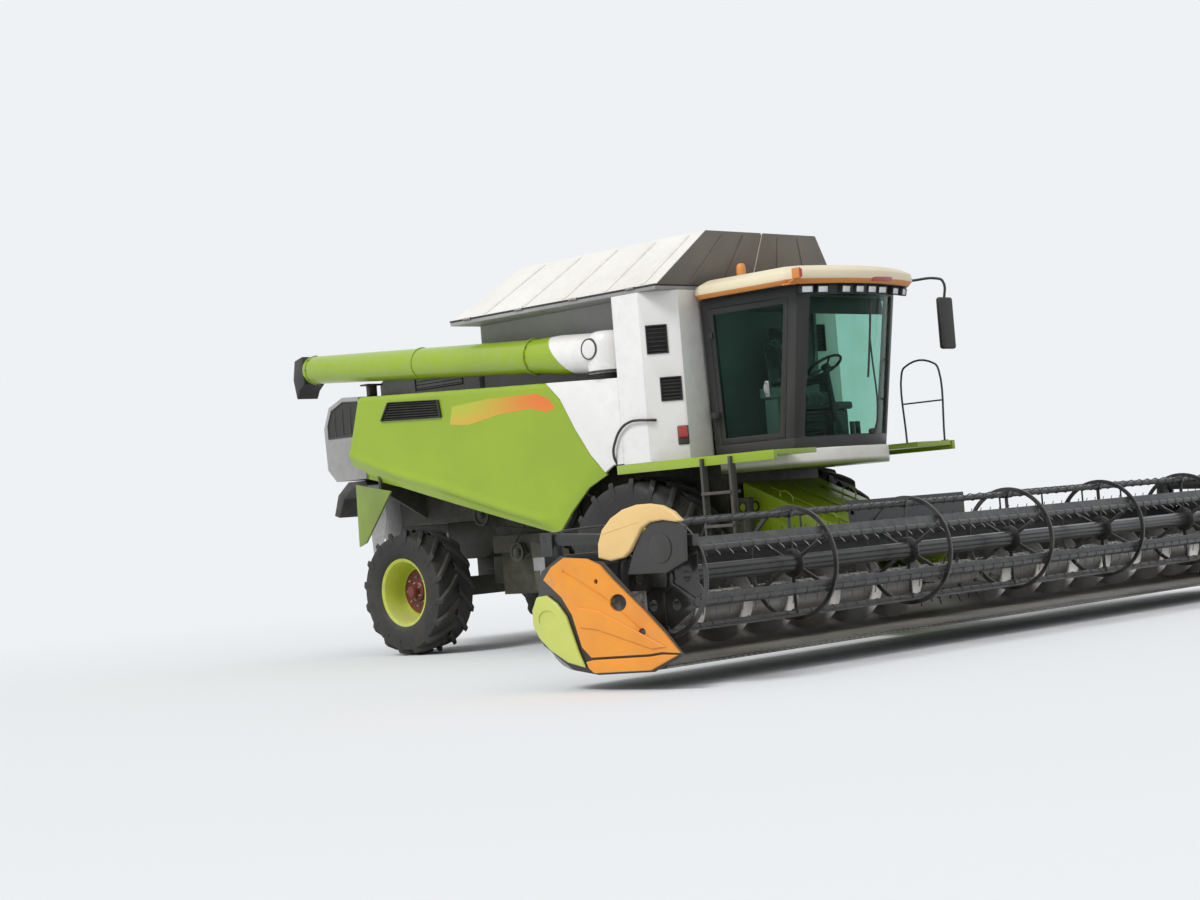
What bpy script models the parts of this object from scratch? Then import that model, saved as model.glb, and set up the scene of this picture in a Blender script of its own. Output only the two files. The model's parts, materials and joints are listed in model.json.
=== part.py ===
"""Combine harvester with its cutterbar, reel and swung-back unloading tube.

Metres, +X forward, +Y to the machine's left, +Z up. Shapes are drawn with x = 0 over the front axle,
and one empty then moves the whole machine so that its origin is on the ground under its middle.
"""
import math

import bmesh
import bpy
from mathutils import Matrix, Vector

# Overall and wheel sizes
NOSE_X = 4.12
TAIL_X = -5.60
GAP = 0.0003
RUN = 0.008
FRONT_TYRE_R = 0.90
FRONT_TYRE_W = 0.65
FRONT_RIM_R = 0.43
FRONT_WHEEL_Y = 1.275
REAR_AXLE_X = -3.80
REAR_TYRE_R = 0.73
REAR_TYRE_W = 0.54
REAR_RIM_R = 0.385
REAR_WHEEL_Y = 1.25
KINGPIN_Y = 0.84
LUG_H = 0.045
FRONT_DISC_Y = 0.02
REAR_DISC_Y = 0.00

# Body
SIDE_Y = 1.50
PANEL_T = 0.05
CORE_Y = 0.75
CORE_TOP = 1.94
RAIL_Y = 0.76
RAIL_W = 0.08
RAIL_Z = 1.10
BELT_X = -0.14
BELT_Z = 2.87
BELT_RISE = 0.0495
DECK_Z = 1.94
DECK_T = 0.095
SHOULDER_X0 = -0.04
SHOULDER_X1 = 0.62
SHOULDER_Y0 = 0.95
WALL = 0.05
RIM_Z = 3.70
RIM_T = 0.04
COVER_Z0 = RIM_Z + RIM_T + GAP
TANK_X0 = -2.55
TANK_X1 = 0.56
TANK_RIGHT = 1.09
TANK_LEFT = 1.30
SKIN = 0.03
COVER_Z1 = 4.30
COVER_X0 = -2.60
COVER_X1 = 0.60
COVER_TOP_X0 = -2.00
COVER_TOP_X1 = 0.82
COVER_TOP_Y = 0.90
HOOD_X0 = -4.40
HOOD_Z = 3.42
TAIL_HOOD_X = -5.14

# Cab
CAB_X0 = 0.66
CAB_X1 = 1.65
CAB_LEAN = 0.24
CAB_BOW = 0.25
CAB_Y = 0.84
CAB_TAPER = 0.08
CAB_FLARE = 0.06
CAB_Z0 = 1.9403
CAB_Z1 = 3.57
SILL_Z = 2.06
HEAD_Z = 3.48
ROOF_T = 0.20
GLASS_T = 0.012
POST = 0.08

# Unloading tube
TUBE_Y = 1.34
TUBE_X = -0.30
TURRET_R = 0.225
TUBE_R = 0.19
TUBE_END_R = 0.168
TURRET_Z = 2.93
TUBE_Z = 3.15
TUBE_RISE = 0.068
TUBE_END_X = -5.36

# Feeder house, header and reel
FEED_X = 0.95
FEED_Z = 1.40
FEED_Y = 0.62
PIN_R = 0.045
HEAD_Y = 5.15
END_T = 0.05
SHEET = 0.03
AUGER_X = 2.80
AUGER_Z = 0.53
AUGER_R = 0.30
AUGER_TUBE_R = 0.17
TROUGH_GAP = 0.035
HEAD_TOP = 1.12
LIP_X = 3.72
REEL_X = 3.62
REEL_Z = 0.89
REEL_R = 0.50
REEL_Y = 4.94
SPIDERS = 7
BATS = 6
ARM_X = 2.43
ARM_Z = 1.26
ARM_Y = 4.985
ARM_W = 0.075
ARM_PIN_R = 0.020

SHIFT = -(NOSE_X + TAIL_X) / 2

for old in list(bpy.data.objects):
    bpy.data.objects.remove(old)

COLOURS = {
    "green": ((0.36, 0.52, 0.03), 0.35, 0.0),
    "lime": ((0.55, 0.62, 0.12), 0.45, 0.0),
    "white": ((0.80, 0.78, 0.74), 0.40, 0.0),
    "grey": ((0.42, 0.42, 0.40), 0.55, 0.0),
    "black": ((0.03, 0.03, 0.03), 0.60, 0.0),
    "steel": ((0.35, 0.35, 0.36), 0.40, 0.9),
    "rubber": ((0.025, 0.025, 0.025), 0.90, 0.0),
    "orange": ((0.90, 0.33, 0.03), 0.45, 0.0),
    "cream": ((0.90, 0.66, 0.30), 0.50, 0.0),
    "glass": ((0.05, 0.20, 0.16), 0.05, 0.0),
    "seat": ((0.06, 0.05, 0.05), 0.85, 0.0),
    "rim": ((0.55, 0.62, 0.05), 0.40, 0.0),
}


def material(kind):
    """The finish of that kind, made once."""
    if kind in bpy.data.materials:
        return bpy.data.materials[kind]
    colour, roughness, metallic = COLOURS[kind]
    made = bpy.data.materials.new(kind)
    made.use_nodes = True
    shader = made.node_tree.nodes["Principled BSDF"]
    shader.inputs["Base Color"].default_value = (*colour, 1)
    shader.inputs["Roughness"].default_value = roughness
    shader.inputs["Metallic"].default_value = metallic
    return made


def empty(name, pivot, parent=None):
    """A joint's axis point, in the machine's own coordinates, as an empty."""
    made = bpy.data.objects.new(name, None)
    bpy.context.scene.collection.objects.link(made)
    made["pivot"] = pivot
    if parent is None:
        made.location = (SHIFT, 0, 0)
    else:
        made.parent = parent
        made.location = Vector(pivot) - Vector(parent["pivot"])
    return made


def mesh_object(name, bm, kind, group):
    """Closes a bmesh drawn in the machine's coordinates into an object carried by a joint's empty."""
    bmesh.ops.recalc_face_normals(bm, faces=bm.faces)
    mesh = bpy.data.meshes.new(name)
    bm.to_mesh(mesh)
    bm.free()
    made = bpy.data.objects.new(name, mesh)
    bpy.context.scene.collection.objects.link(made)
    mesh.materials.append(material(kind))
    made.parent = group
    made.location = -Vector(group["pivot"])
    return made


def smooth(obj, degrees=35):
    """Rounds the shading of a curved piece and keeps its real edges sharp."""
    obj.data.shade_smooth()
    obj.data.set_sharp_from_angle(angle=math.radians(degrees))
    return obj


def prism(outline, low, high, axis="Y"):
    """An outline drawn across one axis, extruded along it. The outline is (x, z), (y, z) or (x, y)."""
    place = {
        "Y": lambda a, b, t: (a, t, b),
        "X": lambda a, b, t: (t, a, b),
        "Z": lambda a, b, t: (a, b, t),
    }[axis]
    bm = bmesh.new()
    face = bm.faces.new([bm.verts.new(place(a, b, low)) for a, b in outline])
    moved = bmesh.ops.extrude_face_region(bm, geom=[face])["geom"]
    step = Vector(place(0, 0, high)) - Vector(place(0, 0, low))
    bmesh.ops.translate(bm, verts=[v for v in moved if isinstance(v, bmesh.types.BMVert)], vec=step)
    return bm


def block(x0, x1, y0, y1, z0, z1):
    """A box between two corners."""
    return prism([(x0, z0), (x1, z0), (x1, z1), (x0, z1)], y0, y1)


def disc(centre, radius, low, high, axis="Y", sides=20, turn=0.0):
    """A round bar along an axis. The centre is the two coordinates across that axis."""
    ring = [(centre[0] + radius * math.cos(turn + 2 * math.pi * i / sides),
             centre[1] + radius * math.sin(turn + 2 * math.pi * i / sides)) for i in range(sides)]
    return prism(ring, low, high, axis)


def pin_hole(x, z, radius, low, high, sides=20):
    """A cutter for the hole that a pin along Y turns in, clear of the pin's edges at every angle."""
    return disc((x, z), (radius + 0.0004) / math.cos(math.pi / sides), low, high, sides=sides)


def rod(start, end, radius, sides=8):
    """A round bar between two points."""
    a, b = Vector(start), Vector(end)
    bm = bmesh.new()
    bmesh.ops.create_cone(bm, cap_ends=True, segments=sides, radius1=radius, radius2=radius,
                          depth=(b - a).length)
    turn = (b - a).to_track_quat("Z", "Y").to_matrix().to_4x4()
    bmesh.ops.transform(bm, verts=bm.verts, matrix=Matrix.Translation((a + b) / 2) @ turn)
    return bm


def turned(profile, y_centre, x, z, steps, side=1):
    """A closed profile of (distance outward along Y, radius), spun round an axis along Y."""
    bm = bmesh.new()
    ring = [bm.verts.new((x, y_centre + side * d, z + r)) for d, r in profile]
    edges = [bm.edges.new((ring[i], ring[(i + 1) % len(ring)])) for i in range(len(ring))]
    bmesh.ops.spin(bm, geom=ring + edges, cent=(x, y_centre, z), axis=(0, 1, 0), angle=2 * math.pi,
                   steps=steps, use_merge=True, use_duplicate=False)
    return bm


def evaluated_mesh(obj):
    """The object's mesh with its modifiers applied."""
    bpy.context.view_layer.update()
    graph = bpy.context.evaluated_depsgraph_get()
    return bpy.data.meshes.new_from_object(obj.evaluated_get(graph))


def combine(name, base, others, kind, group, operation="UNION"):
    """Joins solids to a base, or cuts them out of it, with one exact Boolean."""
    made = mesh_object(name, base, kind, group)
    tools = bpy.data.collections.new(name + "_tools")
    bpy.context.scene.collection.children.link(tools)
    for i, other in enumerate(others):
        tool = mesh_object(f"{name}_tool{i}", other, kind, group)
        bpy.context.scene.collection.objects.unlink(tool)
        tools.objects.link(tool)
    change = made.modifiers.new("join", "BOOLEAN")
    change.operation = operation
    change.operand_type = "COLLECTION"
    change.collection = tools
    change.solver = "EXACT"
    done = evaluated_mesh(made)
    made.modifiers.clear()
    made.data = done
    joined = bmesh.new()
    joined.from_mesh(done)
    bmesh.ops.remove_doubles(joined, verts=joined.verts, dist=2e-6)
    bmesh.ops.dissolve_degenerate(joined, edges=joined.edges, dist=1e-6)
    joined.to_mesh(done)
    joined.free()
    for tool in list(tools.objects):
        bpy.data.objects.remove(tool)
    bpy.data.collections.remove(tools)
    return made


def cut(obj, cutters):
    """Cuts solids, drawn in the machine's coordinates, out of a finished object."""
    bm = bmesh.new()
    bm.from_mesh(obj.data)
    name, group, kind = obj.name, obj.parent, obj.data.materials[0].name
    bpy.data.objects.remove(obj)
    return combine(name, bm, cutters, kind, group, "DIFFERENCE")


def loft(sections):
    """Skins closed rings of points, all with the same count, and caps both ends."""
    bm = bmesh.new()
    rings = [[bm.verts.new(p) for p in ring] for ring in sections]
    for a, b in zip(rings, rings[1:]):
        for i in range(len(a)):
            j = (i + 1) % len(a)
            bm.faces.new((a[i], a[j], b[j], b[i]))
    bm.faces.new(rings[0])
    bm.faces.new(rings[-1])
    return bm


def lerp(table, x):
    """Reads a table of (place, value) with straight runs between its rows."""
    for (x0, v0), (x1, v1) in zip(table, table[1:]):
        if x <= x1:
            return v0 + (v1 - v0) * (x - x0) / (x1 - x0)
    return table[-1][1]


machine = empty("machine", (0, 0, 0))


# Wheels
def tyre(name, x, y, z, radius, width, rim_r, lugs, group, side):
    """A closed tyre ring with chevron lugs raised from alternate tread faces."""
    half = width / 2
    base = radius - LUG_H
    bead = (rim_r + GAP) / math.cos(math.pi / (2 * lugs))
    profile = [
        (-half * 0.80, bead), (-half * 0.99, rim_r + 0.30 * (base - rim_r)),
        (-half * 0.99, rim_r + 0.78 * (base - rim_r)), (-half * 0.90, base - 0.02), (0, base),
        (half * 0.90, base - 0.02), (half * 0.99, rim_r + 0.78 * (base - rim_r)),
        (half * 0.99, rim_r + 0.30 * (base - rim_r)), (half * 0.80, bead),
    ]
    bm = turned(profile, y, x, z, 2 * lugs)
    bm.faces.ensure_lookup_table()
    step = math.pi / lugs
    centre = Vector((x, y, z))
    tread = []
    for face in bm.faces:
        middle = face.calc_center_median() - centre
        if math.hypot(middle.x, middle.z) > base - 0.03 and abs(middle.y) < half * 0.6:
            index = round(math.atan2(middle.x, middle.z) / step - 0.5)
            if index % 2 == (0 if middle.y > 0 else 1):
                tread.append(face)
    for face in tread:
        made = bmesh.ops.extrude_discrete_faces(bm, faces=[face])["faces"][0]
        lean = 0.02 if made.calc_center_median().y > y else -0.02
        for vert in made.verts:
            out = Vector((vert.co.x - x, 0, vert.co.z - z))
            out *= radius / out.length
            at_middle = abs(vert.co.y - y) < 0.01
            vert.co = Vector((x + out.x, vert.co.y + (lean if at_middle else 0), z + out.z))
    for vert in bm.verts:
        local = vert.co - centre
        if abs(local.y) < 0.03 and math.hypot(local.x, local.z) > base - 0.03:
            vert.co = centre + Matrix.Rotation(step * 1.1, 3, "Y") @ local
    made = mesh_object(name, bm, "rubber", group)
    return smooth(made)


def rim(name, x, y, z, radius, width, disc_at, hub_r, group, side):
    """A dished wheel: barrel, well, disc and hub, turned from one profile."""
    half = width * 0.42
    t = 0.02
    profile = [
        (-half, radius), (-half, radius - 0.05), (disc_at - 0.06, radius - 0.09),
        (disc_at - 0.03, hub_r + 0.02), (disc_at - 0.03, 0.09), (disc_at + 0.02, 0.09),
        (disc_at + 0.02, hub_r), (disc_at + 0.01, hub_r + 0.03), (disc_at - 0.02, radius - 0.07),
        (half, radius - 0.035), (half, radius),
    ]
    profile = [(d, r) for d, r in profile]
    bm = turned(profile, y, x, z, 24, side)
    made = mesh_object(name, bm, "rim", group)
    return smooth(made, 40)



def ring_solid(centre, outer, inner, low, high, sides=24):
    """A flat ring round an axis along Y."""
    bm = bmesh.new()
    loops = []
    for radius, y in ((outer, low), (outer, high), (inner, high), (inner, low)):
        loops.append([bm.verts.new((centre[0] + radius * math.cos(2 * math.pi * i / sides), y,
                                    centre[1] + radius * math.sin(2 * math.pi * i / sides)))
                      for i in range(sides)])
    for k in range(4):
        a, b = loops[k], loops[(k + 1) % 4]
        for i in range(sides):
            j = (i + 1) % sides
            bm.faces.new((a[i], a[j], b[j], b[i]))
    return bm


def flight(y0, y1, hand, sides=12, pitch=0.62):
    """One auger flight: a thin rectangular section wound along a helix round the auger tube."""
    count = max(2, int(sides * abs(y1 - y0) / pitch))
    sections = []
    for i in range(count + 1):
        angle = hand * 2 * math.pi * i / sides
        y = y0 + (y1 - y0) * i / count
        c, n = math.cos(angle), math.sin(angle)
        sections.append([(AUGER_X + r * c, y + t, AUGER_Z + r * n)
                         for r, t in ((AUGER_TUBE_R - 0.05, -0.006), (AUGER_R, -0.005),
                                      (AUGER_R, 0.005), (AUGER_TUBE_R - 0.05, 0.006))])
    bm = bmesh.new()
    rings = [[bm.verts.new(p) for p in ring] for ring in sections]
    for a, b in zip(rings, rings[1:]):
        for p, q in ((0, 1), (1, 2), (3, 2), (0, 3)):
            bm.faces.new((a[p], a[q], b[q]))
            bm.faces.new((a[p], b[q], b[p]))
    bm.faces.new(rings[0])
    bm.faces.new(rings[-1])
    return bm


def belt(x, drop=0.0):
    """Height of the body's belt line, which rises towards the rear."""
    return BELT_Z + (BELT_X - x) * BELT_RISE - drop


def cab_ring(inset, z):
    """The cab's plan at a height: straight sides, a front that leans out and bows forward."""
    t = (z - CAB_Z0) / (CAB_Z1 - CAB_Z0)
    front = CAB_X1 + CAB_LEAN * t - inset
    y_rear = CAB_Y + CAB_FLARE * t - inset
    y_front = y_rear - CAB_TAPER * (front + inset - CAB_X0)
    ring = [(CAB_X0 + inset, -y_rear, z), (front, -y_front, z)]
    for i in range(1, 8):
        a = -1 + i / 4
        ring.append((front + CAB_BOW * (1 - a * a), a * y_front, z))
    return ring + [(front, y_front, z), (CAB_X0 + inset, y_rear, z)]


def cab_solid(inset, z0, z1):
    """The cab's outer form, drawn in by an inset, between two heights."""
    return loft([cab_ring(inset, z0), cab_ring(inset, z1)])


def window_outline(margin):
    """The side window, with a front edge that follows the leaning windscreen post."""
    return [(0.74 + margin, SILL_Z + margin), (1.56 - margin, SILL_Z + margin),
            (1.77 - margin, HEAD_Z - margin), (0.74 + margin, HEAD_Z - margin)]


# Wheels, axles and steering knuckles
for tag, side in (("R", -1), ("L", 1)):
    spin = empty(f"axis_front_wheel_{tag}", (0, side * FRONT_WHEEL_Y, FRONT_TYRE_R), machine)
    tyre(f"front_tyre_{tag}", 0, side * FRONT_WHEEL_Y, FRONT_TYRE_R, FRONT_TYRE_R, FRONT_TYRE_W,
         FRONT_RIM_R, 18, spin, side)
    rim(f"front_rim_{tag}", 0, side * FRONT_WHEEL_Y, FRONT_TYRE_R, FRONT_RIM_R, FRONT_TYRE_W,
        FRONT_DISC_Y, 0.22, spin, side)
    steer = empty(f"axis_knuckle_{tag}", (REAR_AXLE_X, side * KINGPIN_Y, REAR_TYRE_R), machine)
    roll = empty(f"axis_rear_wheel_{tag}", (REAR_AXLE_X, side * REAR_WHEEL_Y, REAR_TYRE_R), steer)
    tyre(f"rear_tyre_{tag}", REAR_AXLE_X, side * REAR_WHEEL_Y, REAR_TYRE_R, REAR_TYRE_R, REAR_TYRE_W,
         REAR_RIM_R, 15, roll, side)
    rim(f"rear_rim_{tag}", REAR_AXLE_X, side * REAR_WHEEL_Y, REAR_TYRE_R, REAR_RIM_R, REAR_TYRE_W,
        REAR_DISC_Y, 0.15, roll, side)
    centre = (REAR_AXLE_X, REAR_TYRE_R)
    end = side * (REAR_WHEEL_Y + REAR_DISC_Y - 0.03 - GAP)
    combine(f"knuckle_{tag}", disc(centre, 0.09, side * 0.96, end, sides=16),
            [block(REAR_AXLE_X - 0.09, REAR_AXLE_X + 0.09, side * 0.94, side * 0.98, 0.57, 0.89),
             block(REAR_AXLE_X - 0.09, REAR_AXLE_X + 0.09, side * 0.76, side * 0.96, 0.8303, 0.89),
             block(REAR_AXLE_X - 0.09, REAR_AXLE_X + 0.09, side * 0.76, side * 0.96, 0.57, 0.6297)],
            "black", steer)

front_axle = [block(-0.14, 0.14, side * 0.50, side * 0.86, 0.80, RAIL_Z - GAP) for side in (-1, 1)]
for side in (-1, 1):
    reach = side * (FRONT_WHEEL_Y + FRONT_DISC_Y - 0.03 - GAP)
    front_axle.append(disc((0, FRONT_TYRE_R), 0.18, side * 0.80, reach, sides=20))
combine("front_axle", block(-0.13, 0.13, -0.84, 0.84, 0.76, 1.02), front_axle, "black", machine)

rear_axle = []
for side in (-1, 1):
    rear_axle.append(disc((REAR_AXLE_X, side * KINGPIN_Y), 0.07, 0.63, 0.83, "Z", 16))
    rear_axle.append(block(REAR_AXLE_X - 0.05, REAR_AXLE_X + 0.05, side * 0.60, side * 0.84, 0.65, 0.81))
rear_axle.append(block(REAR_AXLE_X - 0.16, REAR_AXLE_X + 0.16, -0.16, 0.16, 0.80, 1.05 - GAP))
combine("rear_axle", block(REAR_AXLE_X - 0.12, REAR_AXLE_X + 0.12, -0.64, 0.64, 0.62, 0.84),
        rear_axle, "black", machine)
mesh_object("rear_axle_frame", prism([(REAR_AXLE_X - 0.45, 1.30), (REAR_AXLE_X - 0.20, 1.05),
                                      (REAR_AXLE_X + 0.20, 1.05), (REAR_AXLE_X + 0.70, 1.30),
                                      (REAR_AXLE_X + 0.70, 1.50 - GAP), (REAR_AXLE_X - 0.45, 1.50 - GAP)],
                                     -0.34, 0.34), "black", machine)

# Chassis rails with the feeder's hinge ears
rail = [(-2.90, RAIL_Z), (1.05, RAIL_Z), (1.05, 1.50), (0.85, 1.50), (0.78, 1.30), (-2.90, 1.30)]
crosses = [block(-1.36, -1.24, -0.80, 0.80, 1.03, 1.12 - GAP), block(0.38, 0.50, -0.80, 0.80, 1.03, 1.12 - GAP),
           prism(rail, RAIL_Y, RAIL_Y + RAIL_W)]
chassis = combine("chassis", prism(rail, -RAIL_Y - RAIL_W, -RAIL_Y), crosses, "black", machine)
cut(chassis, [pin_hole(FEED_X, FEED_Z, PIN_R, -1.2, 1.2)])

# Threshing body: the closed core, the belt-line ledges and the ribs that carry them
core = [(0.70, CORE_TOP), (0.70, 1.25), (-0.30, 1.12), (-1.60, 1.12), (-1.96, 0.62),
        (-2.86, 0.62), (-2.86, 1.26), (-3.02, 1.50), (-4.62, 1.50), (-4.62, CORE_TOP)]
frame = []
for side, inner in ((-1, TANK_RIGHT), (1, TANK_LEFT)):
    low = inner + 0.01
    ledge = [(-4.40 + GAP, belt(-4.40, 0.06)), (-0.06, belt(-0.06, 0.06)), (-0.06, belt(-0.06, 0.01)),
             (-4.40 + GAP, belt(-4.40, 0.01))]
    frame.append(prism(ledge, side * low, side * (SIDE_Y - PANEL_T - GAP)))
    for x in (-1.18, -2.58, -4.15):
        top = belt(x, 0.03)
        rib = [(side * 0.70, 1.55), (side * 1.43, 1.95), (side * 1.43, top), (side * (inner + 0.04), top),
               (side * (inner + 0.04), top - 0.15), (side * 0.70, 2.20)]
        frame.append(prism(rib, x - 0.02, x + 0.02, "X"))
frame.append(disc((TUBE_X, -TUBE_Y), 0.10, 2.84, TURRET_Z - GAP, "Z", 16))
combine("threshing_body", prism(core, -CORE_Y, CORE_Y), frame, "grey", machine)

# Engine and its hood
mesh_object("engine_block", block(-3.95, -2.75, -0.50, 0.50, CORE_TOP + GAP, 2.85), "black", machine)
hood = [(-2.60, belt(-2.60, 0.01 - GAP)), (-2.60, HOOD_Z), (-3.70, HOOD_Z), (-4.20, 3.34), (-4.38, 3.22),
        (-4.38, belt(-4.38, 0.01 - GAP))]
inside = [(-2.64, 2.0), (-2.64, HOOD_Z - SKIN), (-3.70, HOOD_Z - SKIN), (-4.18, 3.30), (-4.34, 3.19), (-4.34, 2.0)]
engine_hood = combine("engine_hood", prism(hood, -TANK_RIGHT - 0.03, TANK_LEFT + 0.04), [prism(inside, -TANK_RIGHT, TANK_LEFT + 0.01)], "grey", machine,
                      "DIFFERENCE")

# Straw hood with its open underside, chopper and spreader
tail = [(-4.40, 2.10), (-4.40, 3.08), (-4.75, 3.10), (-5.02, 3.00), (TAIL_HOOD_X, 2.75), (-5.12, 2.25), (-4.97, 2.10)]
tail_in = [(-4.43, 1.90), (-4.43, 3.05), (-4.74, 3.07), (-5.00, 2.97), (-5.11, 2.74), (-5.09, 2.26), (-4.94, 2.11), (-4.94, 1.90)]
combine("straw_hood", prism(tail, -1.42, 1.42), [prism(tail_in, -1.39, 1.39)], "grey", machine, "DIFFERENCE")

chopper = [(-4.62 - GAP, 1.92), (-4.62 - GAP, 1.52), (-4.68, 1.38), (-4.90, 1.28), (-4.98, 1.40), (-4.90, 1.92)]
mesh_object("chopper", prism(chopper, -CORE_Y, CORE_Y), "grey", machine)
spreader = [(-4.93, 2.0997), (-4.93, 2.04), (-5.18, 2.01), (-5.38, 1.90), (-5.50, 1.67), (TAIL_X, 1.70),
            (-5.50, 1.95), (-5.28, 2.0997)]
mesh_object("spreader", prism(spreader, -1.00, 1.00), "black", machine)

# Rear shields below the side panels
for tag, side in (("R", -1), ("L", 1)):
    shield = [(-4.56, 2.04), (-3.92, 1.92), (-4.45, 1.34), (-4.58, 1.30)]
    mesh_object(f"rear_shield_{tag}", prism(shield, side * (1.43 + GAP), side * 1.46), "green", machine)

# Side panels, hinged along their top edge
side_outline = [(-4.36, belt(-4.36, 0.012)), (-1.15, belt(-1.15, 0.012)), (-0.94, 2.70), (-0.75, 2.37),
                (-0.55, 2.08), (-0.34, 1.86), (-0.62, 1.74), (-0.91, 1.50), (-1.10, 1.31), (-1.24, 1.29),
                (-2.84, 1.70), (-3.79, 1.96), (-4.52, 2.12), (-4.66, 2.25)]
for tag, side in (("R", -1), ("L", 1)):
    hinge = empty(f"axis_side_panel_{tag}",
                  (BELT_X, side * SIDE_Y, belt(BELT_X, 0.012)), machine)
    mesh_object(f"side_panel_{tag}", prism(side_outline, side * (SIDE_Y - PANEL_T), side * SIDE_Y), "green", hinge)

# White shoulders beside the cab, each with the front body panel up to the dividing curve
white = [(SHOULDER_X0 + 0.02, 1.95), (SHOULDER_X0 + 0.02, belt(0, 0.012)), (-1.13, belt(-1.13, 0.012)),
         (-0.925, 2.71), (-0.735, 2.38), (-0.53, 2.085), (-0.33, 1.88), (-0.20, 1.95)]
for tag, side in (("R", -1), ("L", 1)):
    x0, x1, y0, y1 = SHOULDER_X0, SHOULDER_X1, SHOULDER_Y0, SIDE_Y
    inner = (TANK_RIGHT if side < 0 else TANK_LEFT) + 0.02
    plan = [(x0, side * y1), (x1, side * y1), (x1, side * y0), (x1 - WALL, side * y0),
            (x1 - WALL, side * (y1 - WALL)), (x0 + WALL, side * (y1 - WALL)), (x0 + WALL, side * inner),
            (x0, side * inner)]
    combine(f"shoulder_{tag}", prism(plan, DECK_Z + GAP, RIM_Z - GAP, "Z"),
            [prism(white, side * (SIDE_Y - PANEL_T), side * SIDE_Y)], "white", machine)

# Decks beside the cab, with the steps on the right
for tag, side in (("R", -1), ("L", 1)):
    deck = [block(-0.15, 2.00, side * 1.45, side * 1.50, DECK_Z - DECK_T, DECK_Z - 0.001)]
    if side < 0:
        for x in (1.05, 1.43):
            deck.append(block(x, x + 0.03, -1.54, -1.46, 0.50, DECK_Z - 0.02))
        for i in range(4):
            z = 0.56 + i * 0.33
            deck.append(block(1.06, 1.45, -1.56, -1.40, z, z + 0.03))
    plate = prism([(-0.15, side * (0.84 + GAP)), (2.00, side * (0.84 + GAP)), (2.00, side * 1.42), (1.92, side * 1.50),
                   (-0.15, side * 1.50)], DECK_Z - 0.05, DECK_Z, "Z")
    combine(f"deck_{tag}", plate, deck, "green", machine)

# Grain tank with its hopper, its inlet rim and the flange that the covers close on
hopper = [[(-2.00, -0.40, CORE_TOP + GAP), (0.10, -0.40, CORE_TOP + GAP), (0.10, 0.40, CORE_TOP + GAP),
           (-2.00, 0.40, CORE_TOP + GAP)]]
z_full = belt(TANK_X0, 0.10)
for z in (z_full, RIM_Z):
    hopper.append([(TANK_X0, -TANK_RIGHT, z), (TANK_X1, -TANK_RIGHT, z), (TANK_X1, TANK_LEFT, z),
                   (TANK_X0, TANK_LEFT, z)])
t = SKIN
hopper_in = [[(-2.00 + t, -0.40 + t, CORE_TOP + t), (0.10 - t, -0.40 + t, CORE_TOP + t),
              (0.10 - t, 0.40 - t, CORE_TOP + t), (-2.00 + t, 0.40 - t, CORE_TOP + t)]]
for z in (z_full + 0.02, 4.0):
    hopper_in.append([(TANK_X0 + t, -TANK_RIGHT + t, z), (TANK_X1 - t, -TANK_RIGHT + t, z),
                      (TANK_X1 - t, TANK_LEFT - t, z), (TANK_X0 + t, TANK_LEFT - t, z)])
tank = combine("grain_tank", loft(hopper), [block(TANK_X0 - 0.05, 0.60, -1.495, 1.495, RIM_Z, RIM_Z + RIM_T)],
               "grey", machine)
tank = cut(tank, [loft(hopper_in)])

# Hipped tank covers, hinged at the eaves
for tag, side in (("R", -1), ("L", 1)):
    hinge = empty(f"axis_cover_{tag}", (0, side * SIDE_Y, COVER_Z0), machine)
    mid = side * 0.004

    def hip(inset, z0, z1, middle):
        low = [(COVER_X0 + inset, side * (SIDE_Y - inset), z0), (COVER_X1 - inset, side * (SIDE_Y - inset), z0),
               (COVER_X1 - inset, middle, z0), (COVER_X0 + inset, middle, z0)]
        high = [(COVER_TOP_X0 + inset, side * (COVER_TOP_Y - inset), z1),
                (COVER_TOP_X1 - inset, side * (COVER_TOP_Y - inset), z1),
                (COVER_TOP_X1 - inset, middle, z1), (COVER_TOP_X0 + inset, middle, z1)]
        return loft([low, high])

    combine(f"tank_cover_{tag}", hip(0, COVER_Z0, COVER_Z1, mid),
            [hip(SKIN * 1.2, COVER_Z0 - 0.01, COVER_Z1 - SKIN, -side * 0.1)], "white", hinge, "DIFFERENCE")

# Cab: shell with cut windows, roof, windscreen, left window, door
base = [(0.70 + GAP, -0.84), (1.62, -0.84), (1.86, -0.50), (1.93, 0), (1.86, 0.50), (1.62, 0.84), (0.70 + GAP, 0.84)]
mesh_object("cab_base", prism(base, 1.76, CORE_TOP, "Z"), "white", machine)
combine("cab_shell", cab_solid(0, CAB_Z0, CAB_Z1),
        [cab_solid(WALL, 2.00, 3.51), block(1.30, 2.60, -0.67, 0.67, SILL_Z, HEAD_Z),
         prism(window_outline(0), -1.2, 1.2)], "white", machine, "DIFFERENCE")


def cab_sheet(name, outline, low, high, kind, group, outer, inner, holes=()):
    """A sheet of the cab's side wall, cut to an outline drawn from the side."""
    sheet = combine(name, cab_solid(outer, CAB_Z0, CAB_Z1), [cab_solid(inner, 1.90, 3.60)], kind, group,
                    "DIFFERENCE")
    sheet = cut(sheet, [prism(hole, low, high) for hole in holes])
    bm = bmesh.new()
    bm.from_mesh(sheet.data)
    bpy.data.objects.remove(sheet)
    return combine(name, bm, [prism(outline, low, high)], kind, group, "INTERSECT")


def post_y(x, z):
    """Half width of the cab at a point of its straight side."""
    rear, front = cab_ring(0, z)[:2]
    return lerp([(rear[0], -rear[1]), (front[0], -front[1])], x)


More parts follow.
